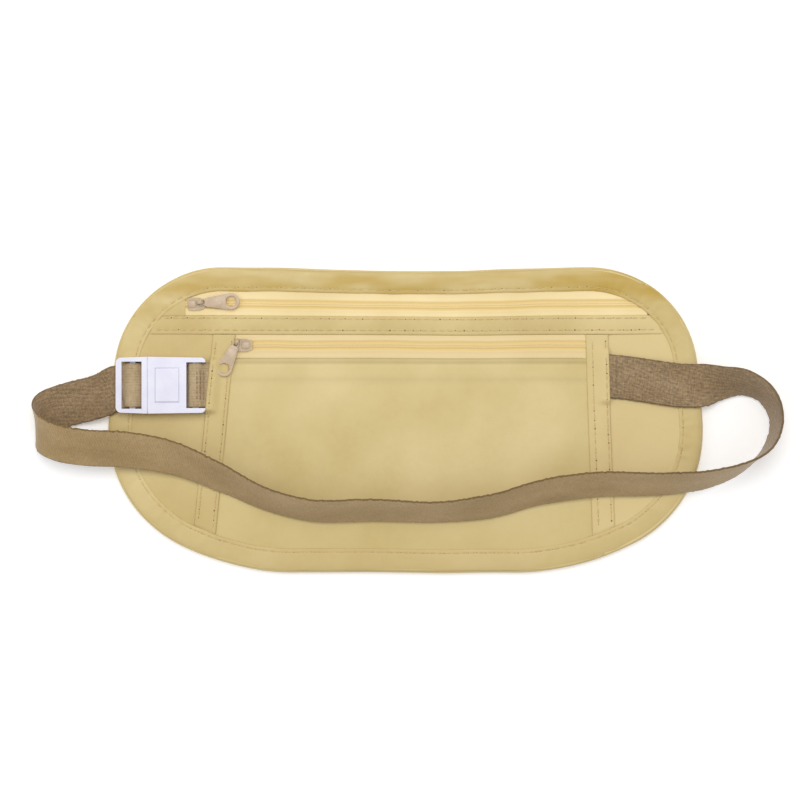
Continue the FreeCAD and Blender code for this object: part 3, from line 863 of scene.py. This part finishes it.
def strip_level(side, x, y):
    inset = side * (strip_edge(side, 0, y) - x)
    level = FRONT + STRIP_RISE + sag(x, y) * 0.9
    level += fold_drop(inset, 0.36 * MM) + fold_drop(STRIP_WIDTH - inset, 0.36 * MM)
    for seam in STRIP_SEAMS[side]:
        level += stitch_dip(inset - seam, y, 0.15 * MM)
    crown = bell(inset - STRIP_WIDTH / 2, 2.2 * MM)
    level += crown * (0.10 + 0.14 * wander(y, 0, 10 * MM, 6.0 + side)) * MM
    level -= 0.55 * MM * under_binding(x, y)
    middle, rise = TUCKS[side]
    across = 1 - smooth(abs(y - middle), WEB_WIDTH / 2 + 0.7 * MM, WEB_WIDTH / 2 + 3.5 * MM)
    return level + rise * across * (1 - smooth(inset, 1.5 * MM, 6.5 * MM))


def strip_foot(side, inset):
    """Y where a strip's line passes under the lower binding."""
    y = BAND_LOW
    while half_width(y, STRIP_END_INSET) > abs(strip_edge(side, inset, y)):
        y -= 0.25 * MM
    return y


def strip(side, label):
    """A folded strip of cloth over the seam between the pocket and the side panel."""
    foot = strip_foot(side, STRIP_WIDTH - 0.6 * MM)

    def sides(y):
        reach = half_width(y, STRIP_END_INSET)
        both = sorted(strip_edge(side, inset, y) for inset in (0, STRIP_WIDTH))
        return [max(-reach, min(reach, x)) for x in both]

    cloth_sheet(
        "strip_cloth_" + label, sides, foot, BAND_LOW, partial(strip_level, side), 0.5 * MM,
        "pocket_strip_" + label,
    )


# ---- edge binding


def still(*places):
    """Section points that take none of the puckers or the sag, from inset and height."""
    return [(inset, height, 0.0, 0.0) for inset, height in places]


# The binding's section, in millimetres: how far in from the rim, the height, and how much
# of the puckers and of the front cloth's sag it takes. It runs from the front's inner
# edge over the rim to the back's inner edge, and home again along the inside.
BINDING_SECTION = (
    (10.35, 3.92, 0.2, 1.0), (10.45, 4.08, 0.4, 1.0), (10.40, 4.24, 0.6, 1.0),
    (10.20, 4.38, 0.8, 1.0), (9.80, 4.46, 1.0, 1.0), (9.40, 4.46, 1.0, 0.9), (9.05, 4.42, 1.0, 0.9),
    (8.80, 4.39, 1.0, 0.9), (8.50, 4.43, 1.0, 0.8), (8.10, 4.55, 1.0, 0.8), (7.40, 4.62, 1.0, 0.6),
    (6.40, 4.66, 1.0, 0.5), (5.20, 4.68, 0.9, 0.4), (4.00, 4.66, 0.7, 0.3), (2.90, 4.56, 0.5, 0.2),
    (2.00, 4.36, 0.4, 0.1), (1.20, 4.02, 0.3, 0.0), (0.60, 3.55, 0.2, 0.0), (0.20, 2.95, 0.1, 0.0),
    *still((0.00, 2.25), (0.20, 1.50), (0.60, 0.90), (1.20, 0.45)), (2.00, 0.18, -0.1, 0.0),
    *still((3.50, 0.04), (5.50, 0.02), (7.60, 0.04), (8.80, 0.16), (9.60, 0.04), (10.30, 0.02)),
    *still((10.45, 0.20), (10.30, 0.38), (8.80, 0.46), (3.00, 0.60), (1.40, 1.10), (0.90, 2.25)),
    *still((1.40, 3.40)), (3.00, 3.98, 0.0, 0.1), (8.80, 3.86, 0.5, 0.9),
)
BINDING_STEP = 0.75 * MM
RUN_ROUND = outline_run(BINDING_STEP)


def pucker(x, y, run, inset, bend):
    """Gathers across the binding, deeper where the outline bends, with one small pinch
    for each stitch near the seam."""
    reach = smooth(inset, 1.2 * MM, 4 * MM)
    gathers = noise.noise(Vector((run / (3.4 * MM), inset / (9 * MM), 2.0)))
    gathers += 0.6 * noise.noise(Vector((run / (8.5 * MM), inset / (20 * MM), 9.0)))
    tight = 0.15 + 0.17 * min(1.0, bend * 60 * MM)
    pinch = math.cos(2 * math.pi * run / STITCH) * bell(inset - BINDING_SEAM, 1.6 * MM)
    return (gathers * tight * reach - pinch * 0.05) * MM * (0.25 + 0.75 * quiet(x, y))


def binding_place(station, run, inset, height, gather, follow):
    """A point of the binding's section at a station of the outline."""
    x, y, nx, ny, bend = station
    rim = wander(x, y, 24 * MM, 12.5) * 0.35 * MM
    ripple = wander(run, 0, 11 * MM, 5.0) * 0.25 * MM
    moved = inset - rim + ripple * smooth(inset, 6 * MM, 10 * MM)
    px, py = x - nx * moved, y - ny * moved
    z = height + gather * pucker(px, py, run, inset, bend) + follow * sag(px, py) * 0.9
    return (*laid(px, py), max(z, 0.0))


def edge_binding():
    """A folded tape sewn right round the pouch's edge, over front and back."""
    points = []
    for index, station in enumerate(RUN_ROUND):
        run = index * BINDING_STEP
        for inset, height, gather, follow in BINDING_SECTION:
            points.append(binding_place(station, run, inset * MM, height * MM, gather, follow))
    faces = ring_faces(len(RUN_ROUND), len(BINDING_SECTION), True)
    piece = new_piece(
        "binding_cloth", points, faces, [BINDING_TAPE], "pouch_cloth", ["edge_binding"]
    )


# ---- stitches

# Where each kind of seam starts its random draws; its rows count on from there.
BAND_SEED = 31
STRIP_SEED = {-1: 31, 1: 51}
TACK_SEED = 61
# From stitch to stitch, as a share of the pitch; a hole's radius, as a share of the
# thread's; and how far a hole drifts off the seam.
PITCH_RANGE = (0.86, 1.14)
HOLE_RANGE = (0.8, 2.1)
HOLE_DRIFT = 0.1 * MM


def capsule(points, faces, start, end, bulge, radius):
    """One stitch from start to end: a thread that comes up, lies over and goes down."""
    sides, rings = 6, 7
    base = len(points)
    along = (end - start).normalized()
    side = along.cross(Vector((0, 0, 1))).normalized()
    up = side.cross(along)
    for r in range(rings):
        share = r / (rings - 1)
        arch = math.sin(math.pi * share)
        centre = start.lerp(end, share) + up * (bulge * (arch - 0.35))
        thick = radius * (0.55 + 0.45 * arch)
        for a in turns(sides):
            points.append(centre + side * (math.cos(a) * thick) + up * (math.sin(a) * thick))
    faces += [tuple(base + i for i in face) for face in ring_faces(rings, sides, False)]


def needle_hole(points, faces, place, up, radius):
    """A dimple painted dark as the hole's shadow, let into the cloth where the thread goes through.
    """
    sides = 7
    base = len(points)
    levels = ((0.55, -0.9), (1.0, 0.02), (0.6, 0.10), (0.2, -0.05))
    for wide, high in levels:
        for a in turns(sides):
            spot = Vector((math.cos(a) * wide, math.sin(a) * wide, high * up)) * radius
            points.append(place + spot)
    faces += [tuple(base + i for i in face) for face in ring_faces(len(levels), sides, False)]


def seam(
    name, path, seed, thread=None, up=1, pitch=STITCH, radius=THREAD, holes=0.75, stands_for=()
):
    """A row of stitches along a path of points on the cloth's surface. Holes is the share
    of the needle's holes that show."""
    chance = random.Random(seed)
    lengths = [0.0]
    for a, b in zip(path, path[1:]):
        lengths.append(lengths[-1] + (b - a).length)
    spots, wanted, at = [], pitch * 0.5, 0
    while wanted < lengths[-1]:
        while lengths[at + 1] < wanted:
            at += 1
        share = (wanted - lengths[at]) / (lengths[at + 1] - lengths[at])
        spots.append(path[at].lerp(path[at + 1], share))
        wanted += pitch * chance.uniform(*PITCH_RANGE)
    threads, thread_faces, dots, dot_faces = [], [], [], []
    for a, b in zip(spots, spots[1:]):
        gap = (b - a) * 0.07
        capsule(threads, thread_faces, a + gap, b - gap, radius * 1.1 * up, radius)
    for spot in spots:
        if chance.random() > holes:
            continue
        drift = [chance.uniform(-HOLE_DRIFT, HOLE_DRIFT) for _ in range(2)]
        width = radius * chance.uniform(*HOLE_RANGE)
        needle_hole(dots, dot_faces, spot + Vector((*drift, 0)), up, width)
    material = thread or THREAD_PALE
    new_piece(name, threads, thread_faces, [material], "thread", stands_for)
    if holes:
        new_piece(name + "_holes", dots, dot_faces, [NEEDLE_HOLE_SHADOW], "thread")


def binding_seams():
    """The seam that holds the binding, seen on the front and on the back."""
    for name, height, gather, follow, up, seed in (
        ("binding_stitches", 4.39 * MM, 1, 0.9, 1, 21),
        ("binding_back_stitches", 0.15 * MM, 0, 0.0, -1, 22),
    ):
        path = [
            Vector(binding_place(station, k * BINDING_STEP, BINDING_SEAM, height, gather, follow))
            for k, station in enumerate(RUN_ROUND)
        ]
        seam(name, path + path[:1], seed, up=up)


def run_of_points(count, place):
    """Points place(share) as the share goes from 0 to 1."""
    return [Vector(place(i / count)) for i in range(count + 1)]


def band_seams():
    """The two seams along the band between the zippers."""
    for number, y in enumerate(BAND_SEAMS):
        reach = half_width(y, BINDING_WIDTH)

        def place(share, y=y, reach=reach):
            x = blend_between(-reach, reach, share)
            return (*laid(x, y), band_level(x, y) + THREAD_LIFT)

        name = "band_stitches_%d" % (number + 1)
        seam(name, run_of_points(260, place), BAND_SEED + number, holes=0.5)


def strip_seams():
    """The two seams down each strip, which end clear of the binding."""
    for side, label in ((-1, "left"), (1, "right")):
        for number, inset in enumerate(STRIP_SEAMS[side]):
            low = strip_foot(side, inset) + 4.5 * MM

            def place(share, side=side, inset=inset, low=low):
                y = blend_between(BAND_LOW - 1 * MM, low, share)
                x = strip_edge(side, inset, y)
                return (*laid(x, y), strip_level(side, x, y) + THREAD_LIFT)

            name = "strip_stitches_%s_%d" % (label, number + 1)
            seam(name, run_of_points(160, place), STRIP_SEED[side] + number)


# ---- zippers

TAPE_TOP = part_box("upper_zip_tape_top")[1].z
TAPE_THICK = 0.35 * MM
COIL_PITCH = 1.2 * MM
# The coil's nylon wire, how far a half of the chain lies from the middle, and half its
# turns' width and height.
WIRE = 0.17 * MM
COIL_AWAY = 0.62 * MM
COIL_WIDE = 0.72 * MM
COIL_HIGH = 0.26 * MM

ZIPPERS = ("upper", "lower")
# Y of each zipper's chain, midway between its coils, and X where its slider ends.
CHAIN_Y = {
    z: (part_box(z + "_zip_coil_bottom")[0].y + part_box(z + "_zip_coil_top")[1].y) / 2
    for z in ZIPPERS
}
SLIDER_END = {z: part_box(z + "_slider_body")[1].x for z in ZIPPERS}
CHAIN_SEED = {"upper": 14.0, "lower": 27.0}
JOINTS = {joint["name"]: joint for joint in frame["joints"]}
# X of each slider's left end once its zipper is open.
OPENED_LEFT = {
    z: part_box(z + "_slider_body")[0].x + JOINTS[z + "_zip_slide"]["range_m"][1] for z in ZIPPERS
}


def chain_free(prefix, x):
    """0 where the slider sits when closed or open, and 1 between those places."""
    start, stop = SLIDER_END[prefix], OPENED_LEFT[prefix]
    ease = 14 * MM
    return min(smooth(x, start, start + ease), 1 - smooth(x, stop - ease, stop))


def chain_wave(prefix, x):
    """How far the chain lies off its straight line."""
    return wander(x, 0, 26 * MM, CHAIN_SEED[prefix]) * 0.7 * MM * chain_free(prefix, x)


def tape_relief(x, away):
    """Height across a tape: a rolled edge at the chain, the furrow where the coil is
    sewn on, and a faint rib beyond."""
    roll = 0.26 * bell(away - 0.4 * MM, 0.5 * MM)
    slit = -0.10 * bell(away, 0.2 * MM)
    furrow = -0.22 * bell(away - 1.3 * MM, 0.45 * MM)
    rib = 0.16 * bell(away - 2.4 * MM, 0.6 * MM)
    beat = 0.07 * math.cos(2 * math.pi * x / COIL_PITCH) * math.exp(-away / (1.6 * MM))
    return (roll + slit + furrow + rib + beat) * MM


def tape(prefix, side, way):
    """One tape of a zipper, on the side of the chain that way points to along Y."""
    node = "%s_zip_tape_%s" % (prefix, side)
    low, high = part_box(node)
    chain = CHAIN_Y[prefix]
    columns = round((high.x - low.x) / (0.4 * MM))
    rows, crowding = 26, 1.6
    points, places = [], []
    for j in range(rows + 1):
        away = TAPE_REACH * (j / rows) ** crowding
        for i in range(columns + 1):
            x = blend_between(low.x, high.x, i / columns)
            fade = 1 - smooth(away, 2 * MM, 6 * MM)
            y = chain + chain_wave(prefix, x) * fade + way * away
            z = TAPE_TOP + tape_relief(x, away) + sag(x, y) * 0.8
            points.append((*laid(x, y), z))
            places.append((x, away))
    faces = grid_faces(columns, rows)
    if way < 0:
        faces = [tuple(reversed(face)) for face in faces]
    piece = new_piece("%s_tape_%s" % (prefix, side), points, faces, [ZIP_TAPE], "zip_tape", [node])
    lay_uvs(piece, places)
    thicken(piece, TAPE_THICK)


def coil(prefix, side, way):
    """One half of the chain: a flattened nylon helix sewn under the tape's edge."""
    node = "%s_zip_coil_%s" % (prefix, side)
    low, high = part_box(node)
    middle = CHAIN_Y[prefix] + way * COIL_AWAY
    level = (low.z + high.z) / 2 - 0.1 * MM
    start, stop = low.x + 0.2 * MM, high.x - 0.2 * MM
    per_turn, sides = 8, 5
    steps = round((high.x - low.x) / COIL_PITCH) * per_turn
    points = []
    for step in range(steps + 1):
        angle = 2 * math.pi * step / per_turn + (math.pi if way < 0 else 0)
        out_y, out_z = math.cos(angle), math.sin(angle)
        x = blend_between(start, stop, step / steps)
        y = middle + chain_wave(prefix, x) + out_y * COIL_WIDE
        z = level + out_z * COIL_HIGH + sag(x, y) * 0.8 * chain_free(prefix, x)
        for a in turns(sides):
            turn = math.cos(a) * WIRE
            spot_y = y + out_y * turn
            points.append((*laid(x + math.sin(a) * WIRE, spot_y), z + out_z * turn))
    faces = ring_faces(steps + 1, sides, False)
    new_piece("%s_coil_%s" % (prefix, side), points, faces, [COIL], "zip_coil", [node])


# ---- sliders, pulls, buckle


def keep_node(node, material, bevel):
    """A CAD node that stays, with softened edges and a material of its own."""
    thing = frame["nodes"][node]
    thing.data.materials.clear()
    thing.data.materials.append(material)
    weld = thing.modifiers.new("weld", "WELD")
    weld.merge_threshold = 0.002 * MM
    soften = thing.modifiers.new("soften", "BEVEL")
    soften.width = bevel
    soften.segments = 3
    soften.limit_method = "ANGLE"
    soften.angle_limit = math.radians(40)
    soften.harden_normals = False


def hard_parts():
    """The CAD nodes that stay, with softened edges: the sliders, the stops, the buckle."""
    for prefix in ZIPPERS:
        # Painted shade: the slider bodies and bails take the darker copy of the enamel.
        keep_node(prefix + "_slider_body", SHADED_ENAMEL, 0.22 * MM)
        keep_node(prefix + "_slider_bail", SHADED_ENAMEL, 0.2 * MM)
        for side in ("top", "bottom"):
            keep_node("%s_zip_start_stop_%s" % (prefix, side), ENAMEL, 0.2 * MM)
        keep_node(prefix + "_zip_end_stop", ENAMEL, 0.2 * MM)
    for node, bevel in (
        ("buckle_socket", 0.4 * MM), ("buckle_plug", 0.4 * MM), ("buckle_release_pad", 0.25 * MM),
    ):
        keep_node(node, PLASTIC, bevel)


def filler(name, body, low, high, top, thick, bevel):
    """A flat plate of the buckle's plastic between two corners, with its top at a height."""
    corners = [(low[0], low[1]), (high[0], low[1]), (high[0], high[1]), (low[0], high[1])]
    build = bmesh.new()
    slab(build, [[Vector(corner) for corner in corners]], thick, bevel)
    for vertex in build.verts:
        vertex.co.z += top - thick / 2
    build_piece(build, name, body, PLASTIC, "buckle_plastic")


def buckle_fillers():
    """A rim that fills the gap round the release pad, and a lip on the plug's flat end
    that fills its seam, both just under the socket's top."""
    low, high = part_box("buckle_release_pad")
    side, end = 0.08 * MM, 0.44 * MM
    filler(
        "release_skirt", "release_pad", (low.x - side, low.y - end),
        (high.x + side, high.y + end), high.z - 0.45 * MM, 0.9 * MM, 0.05 * MM,
    )
    low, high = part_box("buckle_socket")
    reach, gap, side = 0.3 * MM, 0.03 * MM, 1.0 * MM
    filler(
        "plug_lip", "plug", (low.x - reach, low.y + side), (low.x - gap, high.y - side),
        high.z - 0.5 * MM, 0.8 * MM, 0.03 * MM,
    )


def mirrored(points):
    """The points across the X axis, last one first."""
    return [Vector((p.x, -p.y)) for p in reversed(points)]


def pull_tab(prefix):
    """A flat tab with an eye for the bail at one end and a finger ring at the other."""
    node = prefix + "_pull_tab"
    joint = JOINTS[prefix + "_pull_flip"]
    hinge = Vector(joint["pos_m"])
    axis = Vector(joint["axis"])
    ahead = Vector((-axis.y, axis.x, 0)).normalized()
    side = Vector((-ahead.y, ahead.x, 0))
    corners = [Vector(v.co) for v in frame["nodes"][node].data.vertices]
    tip = max((c - hinge).dot(ahead) for c in corners)
    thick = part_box(node)[1].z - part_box(node)[0].z
    ring, hole, root, neck = 3.6 * MM, 2.3 * MM, 1.35 * MM, 2.0 * MM
    centre = tip - ring
    heel = [
        Vector((-0.4 * MM, -0.7 * MM)), Vector((0.1 * MM, -root)), Vector((1.9 * MM, -root)),
        Vector((2.9 * MM, -neck)),
    ]
    sweep, steps = math.radians(100), 28
    outer = heel + circle(centre, ring, -sweep, sweep, steps) + mirrored(heel)
    full = 2 * math.pi
    round_hole = circle(centre, hole, 0, full - full / steps, steps - 1)
    eye = [Vector(p) * MM for p in ((0.45, -0.6), (0.65, -0.8), (1.75, -0.8), (1.95, -0.6))]
    shoulder = ring * math.cos(sweep) + centre - 1.6 * MM
    raised = [Vector((3.3 * MM, -neck + 0.35 * MM)), Vector((shoulder, -ring + 0.95 * MM))]
    build = bmesh.new()
    slab(build, [outer, round_hole, eye + mirrored(eye)], thick * 0.72, 0.2 * MM)
    slab(build, [raised + mirrored(raised)], thick, 0.18 * MM)
    for vertex in build.verts:
        p = vertex.co
        vertex.co = hinge + ahead * p.x + side * p.y + Vector((0, 0, p.z))
    build_piece(build, prefix + "_pull", prefix + "_pull", ENAMEL, "slider_enamel", [node])


def circle(centre, radius, first, last, steps):
    """Points on an arc about a centre on the X axis."""
    angles = [blend_between(first, last, k / steps) for k in range(steps + 1)]
    return [Vector((centre + math.cos(a) * radius, math.sin(a) * radius)) for a in angles]


# X of each slider crown's middle, half a crown's length and width, and how high it rises
# from its foot, which is let into the slider.
CROWN_MIDDLE = {"upper": -92.9 * MM, "lower": -69.6 * MM}
CROWN_HALF = (2.0 * MM, 1.75 * MM)
CROWN_RISE = 0.62 * MM
CROWN_FOOT = 0.15 * MM


def squared(value):
    """A cosine or sine pushed outwards, which makes a circle a rounded square."""
    return math.copysign(abs(value) ** 0.6, value)


def slider_crown(prefix):
    """The raised back of a slider, a low pillow on its top plate."""
    low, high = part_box(prefix + "_slider_body")
    middle_x, middle_y = CROWN_MIDDLE[prefix], (low.y + high.y) / 2
    rings, sides = 7, 28
    points = []
    for r in range(rings):
        turn = math.pi / 2 * r / rings
        wide = math.cos(turn) ** 0.7
        z = high.z - CROWN_FOOT + CROWN_RISE * math.sin(turn)
        for a in turns(sides):
            x = middle_x + squared(math.cos(a)) * CROWN_HALF[0] * wide
            y = middle_y + squared(math.sin(a)) * CROWN_HALF[1] * wide
            points.append((x, y, z))
    new_piece(
        prefix + "_slider_crown", points, ring_faces(rings, sides, False), [ENAMEL],
        "slider_enamel", body=prefix + "_slider",
    )


def slab(build, loops, thick, bevel):
    """Adds a flat plate from an outline and its holes, centred on Z 0, edges rounded."""
    before = set(build.faces)
    edges = []
    for loop in loops:
        ring = [build.verts.new((p.x, p.y, -thick / 2)) for p in loop]
        edges += [build.edges.new((a, b)) for a, b in zip(ring, ring[1:] + ring[:1])]
    bmesh.ops.triangle_fill(build, edges=edges, use_beauty=True)
    flat = [f for f in build.faces if f not in before]
    lifted = bmesh.ops.extrude_face_region(build, geom=flat)["geom"]
    for vertex in [g for g in lifted if isinstance(g, bmesh.types.BMVert)]:
        vertex.co.z += thick
    made = [f for f in build.faces if f not in before]
    bmesh.ops.recalc_face_normals(build, faces=made)
    rims = set()
    for edge in {e for f in made for e in f.edges}:
        level = abs(edge.verts[0].co.z - edge.verts[1].co.z) < thick / 4
        if level and edge.calc_face_angle(0) > math.radians(60):
            rims.add(edge)
    bmesh.ops.bevel(build, geom=list(rims), offset=bevel, segments=3, profile=0.5, affect="EDGES")


# ---- webbing


def through(stations, spacing, fine=()):
    """Places along a smooth run through the stations: station count, middle, direction
    across, heading and length so far. The middle and one edge each follow a centripetal
    Catmull-Rom curve. Places are closer together in the fine spans."""
    middles = [Vector(s[:3]) * MM for s in stations]
    tips = [m + Vector(s[3:]).normalized() * WEB_WIDTH / 2 for m, s in zip(middles, stations)]
    ends = [middles[0] * 2 - middles[1]] + middles + [middles[-1] * 2 - middles[-2]]
    tip_ends = [tips[0] * 2 - tips[1]] + tips + [tips[-1] * 2 - tips[-2]]
    spots = []
    for span in range(len(stations) - 1):
        four = ends[span : span + 4]
        knots = [0.0]
        for a, b in zip(four, four[1:]):
            knots.append(knots[-1] + math.sqrt((b - a).length))
        gap = spacing * FINE if span in fine else spacing
        count = math.ceil((four[2] - four[1]).length / gap)
        for k in range(count):
            t = blend_between(knots[1], knots[2], k / count)
            middle = catmull(four, knots, t)
            tip = catmull(tip_ends[span : span + 4], knots, t)
            spots.append((span + k / count, middle, tip - middle))
    spots.append((len(stations) - 1, middles[-1], tips[-1] - middles[-1]))
    places, run = [], 0.0
    for index, (count, middle, across) in enumerate(spots):
        before = spots[max(0, index - 1)][1]
        after = spots[min(len(spots) - 1, index + 1)][1]
        run += (middle - before).length
        places.append((count, middle, across, (after - before).normalized(), run))
    return places


def catmull(four, knots, t):
    """A Catmull-Rom curve between the middle two of four points."""
    level = list(four)
    for depth in range(1, 4):
        following = []
        for i in range(len(level) - 1):
            # The curve's middle span mixes its inner pairs over the inner knots only.
            low, high = (i, i + depth) if depth < 3 else (1, 2)
            share = (t - knots[low]) / (knots[high] - knots[low])
            following.append(level[i].lerp(level[i + 1], share))
        level = following
    return level[0]


def web_section():
    """Across the webbing, from -1 to 1, and the half thickness there, as one ring."""
    marks = (0.0, 0.18, 0.36, 0.54, 0.70, 0.82, 0.90, 0.95, 0.98)
    half = [-m for m in reversed(marks)] + list(marks[1:])
    ring = [(-1.0, 0.0)]
    for way, row in ((1, half), (-1, list(reversed(half)))):
        if way < 0:
            ring.append((1.0, 0.0))
        for w in row:
            bead = 0.12 * bell(abs(w) - 0.93, 0.035)
            ring.append((w, way * (math.sqrt(1 - abs(w) ** 16) * (0.44 + bead))))
    return ring


WEB_RING = web_section()
# The webbing keeps still over this length at its ends.
STILL = 6.6 * MM
# How close together places are in the fine spans, beside elsewhere.
FINE = 0.3
# Seeds of the strap's waves, in both its lengths, and of the stub's.
STRAP_WAVES = 3.0
STUB_WAVES = 8.0
# A tail_from left of every face, for webbing that is the pale tail from end to end.
ALL_TAIL = -math.inf
# The webbing's waves, each with its length and its height: a cup over the whole width, a
# frill along the selvedges and a swell of the face.
CUP = (34 * MM, 0.5 * MM)
FRILL = (1.3 * MM, 0.42 * MM)
SWELL = (9 * MM, 0.16 * MM)
# How far apart the webbing's places are.
STRAP_SPACING = 1.1 * MM
STUB_SPACING = 0.7 * MM


def wave(size, run, across, seed):
    """Noise along the webbing with a wave's length and height."""
    length, height = size
    return noise.noise(Vector((run / length, across, seed))) * height


def ribbon(name, places, body, nodes, seed, tail_from=math.inf):
    """Webbing through the places: softly cupped, with slightly wavy selvedges. Its UVs
    run in metres along and across it. The face above its normal is the coarse one, or
    past tail_from along X the pale tail."""
    size = len(WEB_RING)
    points = []
    first, last = places[0][4], places[-1][4]
    for _, middle, tip, along, run in places:
        across = (tip - along * tip.dot(along)).normalized()
        normal = along.cross(across)
        calm = min(smooth(run, first, first + STILL), smooth(-run, -last, STILL - last))
        cup = wave(CUP, run, seed, 0.0) * calm
        for w, h in WEB_RING:
            edge = abs(w) ** 6
            frill = wave(FRILL, run, w * 2, seed) * edge
            swell = wave(SWELL, run, w * 1.2, seed + 4)
            out = h * WEB_THICK + cup * (1 - w * w) + (frill + swell) * calm
            wide = w * (WEB_WIDTH / 2 + frill * 0.8 * calm)
            points.append(middle + across * wide + normal * out)
    faces = ring_faces(len(places), size, False)
    materials = [WEB_COARSE, WEB_SMOOTH, WEB_TAIL]
    coarse, under, tail = range(len(materials))
    piece = new_piece(name, points, faces, materials, "webbing", nodes, body)
    runs = [place[4] for place in places]
    lay_uvs(piece, [(run, (w + 1) / 2 * WEB_WIDTH) for run in runs for w, _ in WEB_RING])
    for face in piece.data.polygons:
        heights = [WEB_RING[v % size][1] for v in face.vertices]
        upper = tail if face.center.x >= tail_from else coarse
        face.material_index = under if sum(heights) < 0 else upper
    piece.data.set_sharp_from_angle(angle=math.radians(75))
    return piece, last - first


def straps():
    """The waist strap, its end in the plug, and the stub in the socket."""
    places = through(STRAP, STRAP_SPACING, (PARTING - 1, PARTING))
    parted = next(i for i, place in enumerate(places) if place[0] >= PARTING)
    waist, length = ribbon(
        "waist_webbing", places[: parted + 1], None, ["waist_strap"], STRAP_WAVES
    )
    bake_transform(waist)
    tail_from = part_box("buckle_plug")[0].x + 1 * MM
    end, length = ribbon(
        "buckle_end_webbing", places[parted:], "plug", ["strap_buckle_end"], STRAP_WAVES, tail_from
    )
    stub, length = ribbon(
        "stub_webbing", through(STUB, STUB_SPACING), "pouch", ["stub_strap"], STUB_WAVES, ALL_TAIL
    )


# The rows of stitches across each sewn end, in millimetres: X of the first row, Y of a
# row's ends, their height, and how many rows there are. TACK_GAP is from row to row.
TACKS = {"right": (91.4, 10.6, 26.9, 5.46, 1), "left": (-90.4, 7.6, 22.4, 9.34, 3)}
TACK_GAP = 1.5


def tacks():
    """Rows of brown stitches that hold the webbing's two sewn ends."""
    for label, (x, low, high, level, rows) in TACKS.items():
        for row in range(rows):
            column = x + row * TACK_GAP
            ends = [Vector((column, y, level)) * MM for y in (low, high)]
            seam(
                "strap_tack_%s_%d" % (label, row + 1), ends, TACK_SEED + row,
                thread=THREAD_BROWN, pitch=2.1 * MM, radius=0.22 * MM, holes=0,
                stands_for=["strap_tack_" + label],
            )


# ---- room

TABLE_HALF = 2.5
# Each lamp's place, the size of its disc, and its power in watts.
LAMPS = {"top_light": ((0.05, 0.55, 1.5), 1.1, 10.5), "side_light": ((-1.1, 0.3, 1.1), 0.8, 2.5)}
# The camera hangs this far above the front cloth, with its lens and sensor in millimetres.
CAMERA_RISE = 0.966
LENS, SENSOR = 100, 36


def room():
    """A white table top, soft light from above, and the camera straight overhead."""
    points = [(x * TABLE_HALF, y * TABLE_HALF, 0) for y in (-1, 1) for x in (-1, 1)]
    mesh = bpy.data.meshes.new("table")
    mesh.from_pydata(points, [], [(0, 1, 3, 2)])
    table = add_object("table", mesh)
    table.location.z = cad_box[0][2] - 0.1 * MM
    recipe = Recipe("table_top")
    grain = recipe.noise(0.4, 2.0)
    mesh.materials.append(
        recipe.finish(
            Base_Color=recipe.spread(grain, 0.93, 0.95),
            Roughness=recipe.spread(grain, 0.7, 0.8), Emission_Color=(1, 1, 1, 1),
            Emission_Strength=0.2,
        )
    )

    world = bpy.data.worlds.new("studio")
    world.use_nodes = True
    background = world.node_tree.nodes["Background"].inputs
    background["Color"].default_value = (1, 1, 1, 1)
    background["Strength"].default_value = 0.60
    bpy.context.scene.world = world

    for name, (place, size, power) in LAMPS.items():
        lamp = bpy.data.lights.new(name, "AREA")
        lamp.shape = "DISK"
        lamp.size = size
        lamp.energy = power
        light = add_object(name, lamp)
        light.location = place
        light.rotation_euler = (-Vector(place)).to_track_quat("-Z", "Y").to_euler()

    lens = bpy.data.cameras.new("overhead")
    lens.lens = LENS
    lens.sensor_width = SENSOR
    camera = add_object("overhead", lens)
    camera.location = (-2.6 * MM, 8.6 * MM, CAMERA_RISE + FRONT)
    bpy.context.scene.camera = camera
    bpy.context.scene.view_settings.view_transform = "Standard"


# ---- build

inner_sheets()
facing()
zip_band()
front_panels()
strip(-1, "left")
strip(1, "right")
edge_binding()
binding_seams()
band_seams()
strip_seams()
for prefix in ZIPPERS:
    for side, way in (("top", 1), ("bottom", -1)):
        tape(prefix, side, way)
        coil(prefix, side, way)
    pull_tab(prefix)
hard_parts()
buckle_fillers()
for prefix in ZIPPERS:
    slider_crown(prefix)
straps()
tacks()
room()
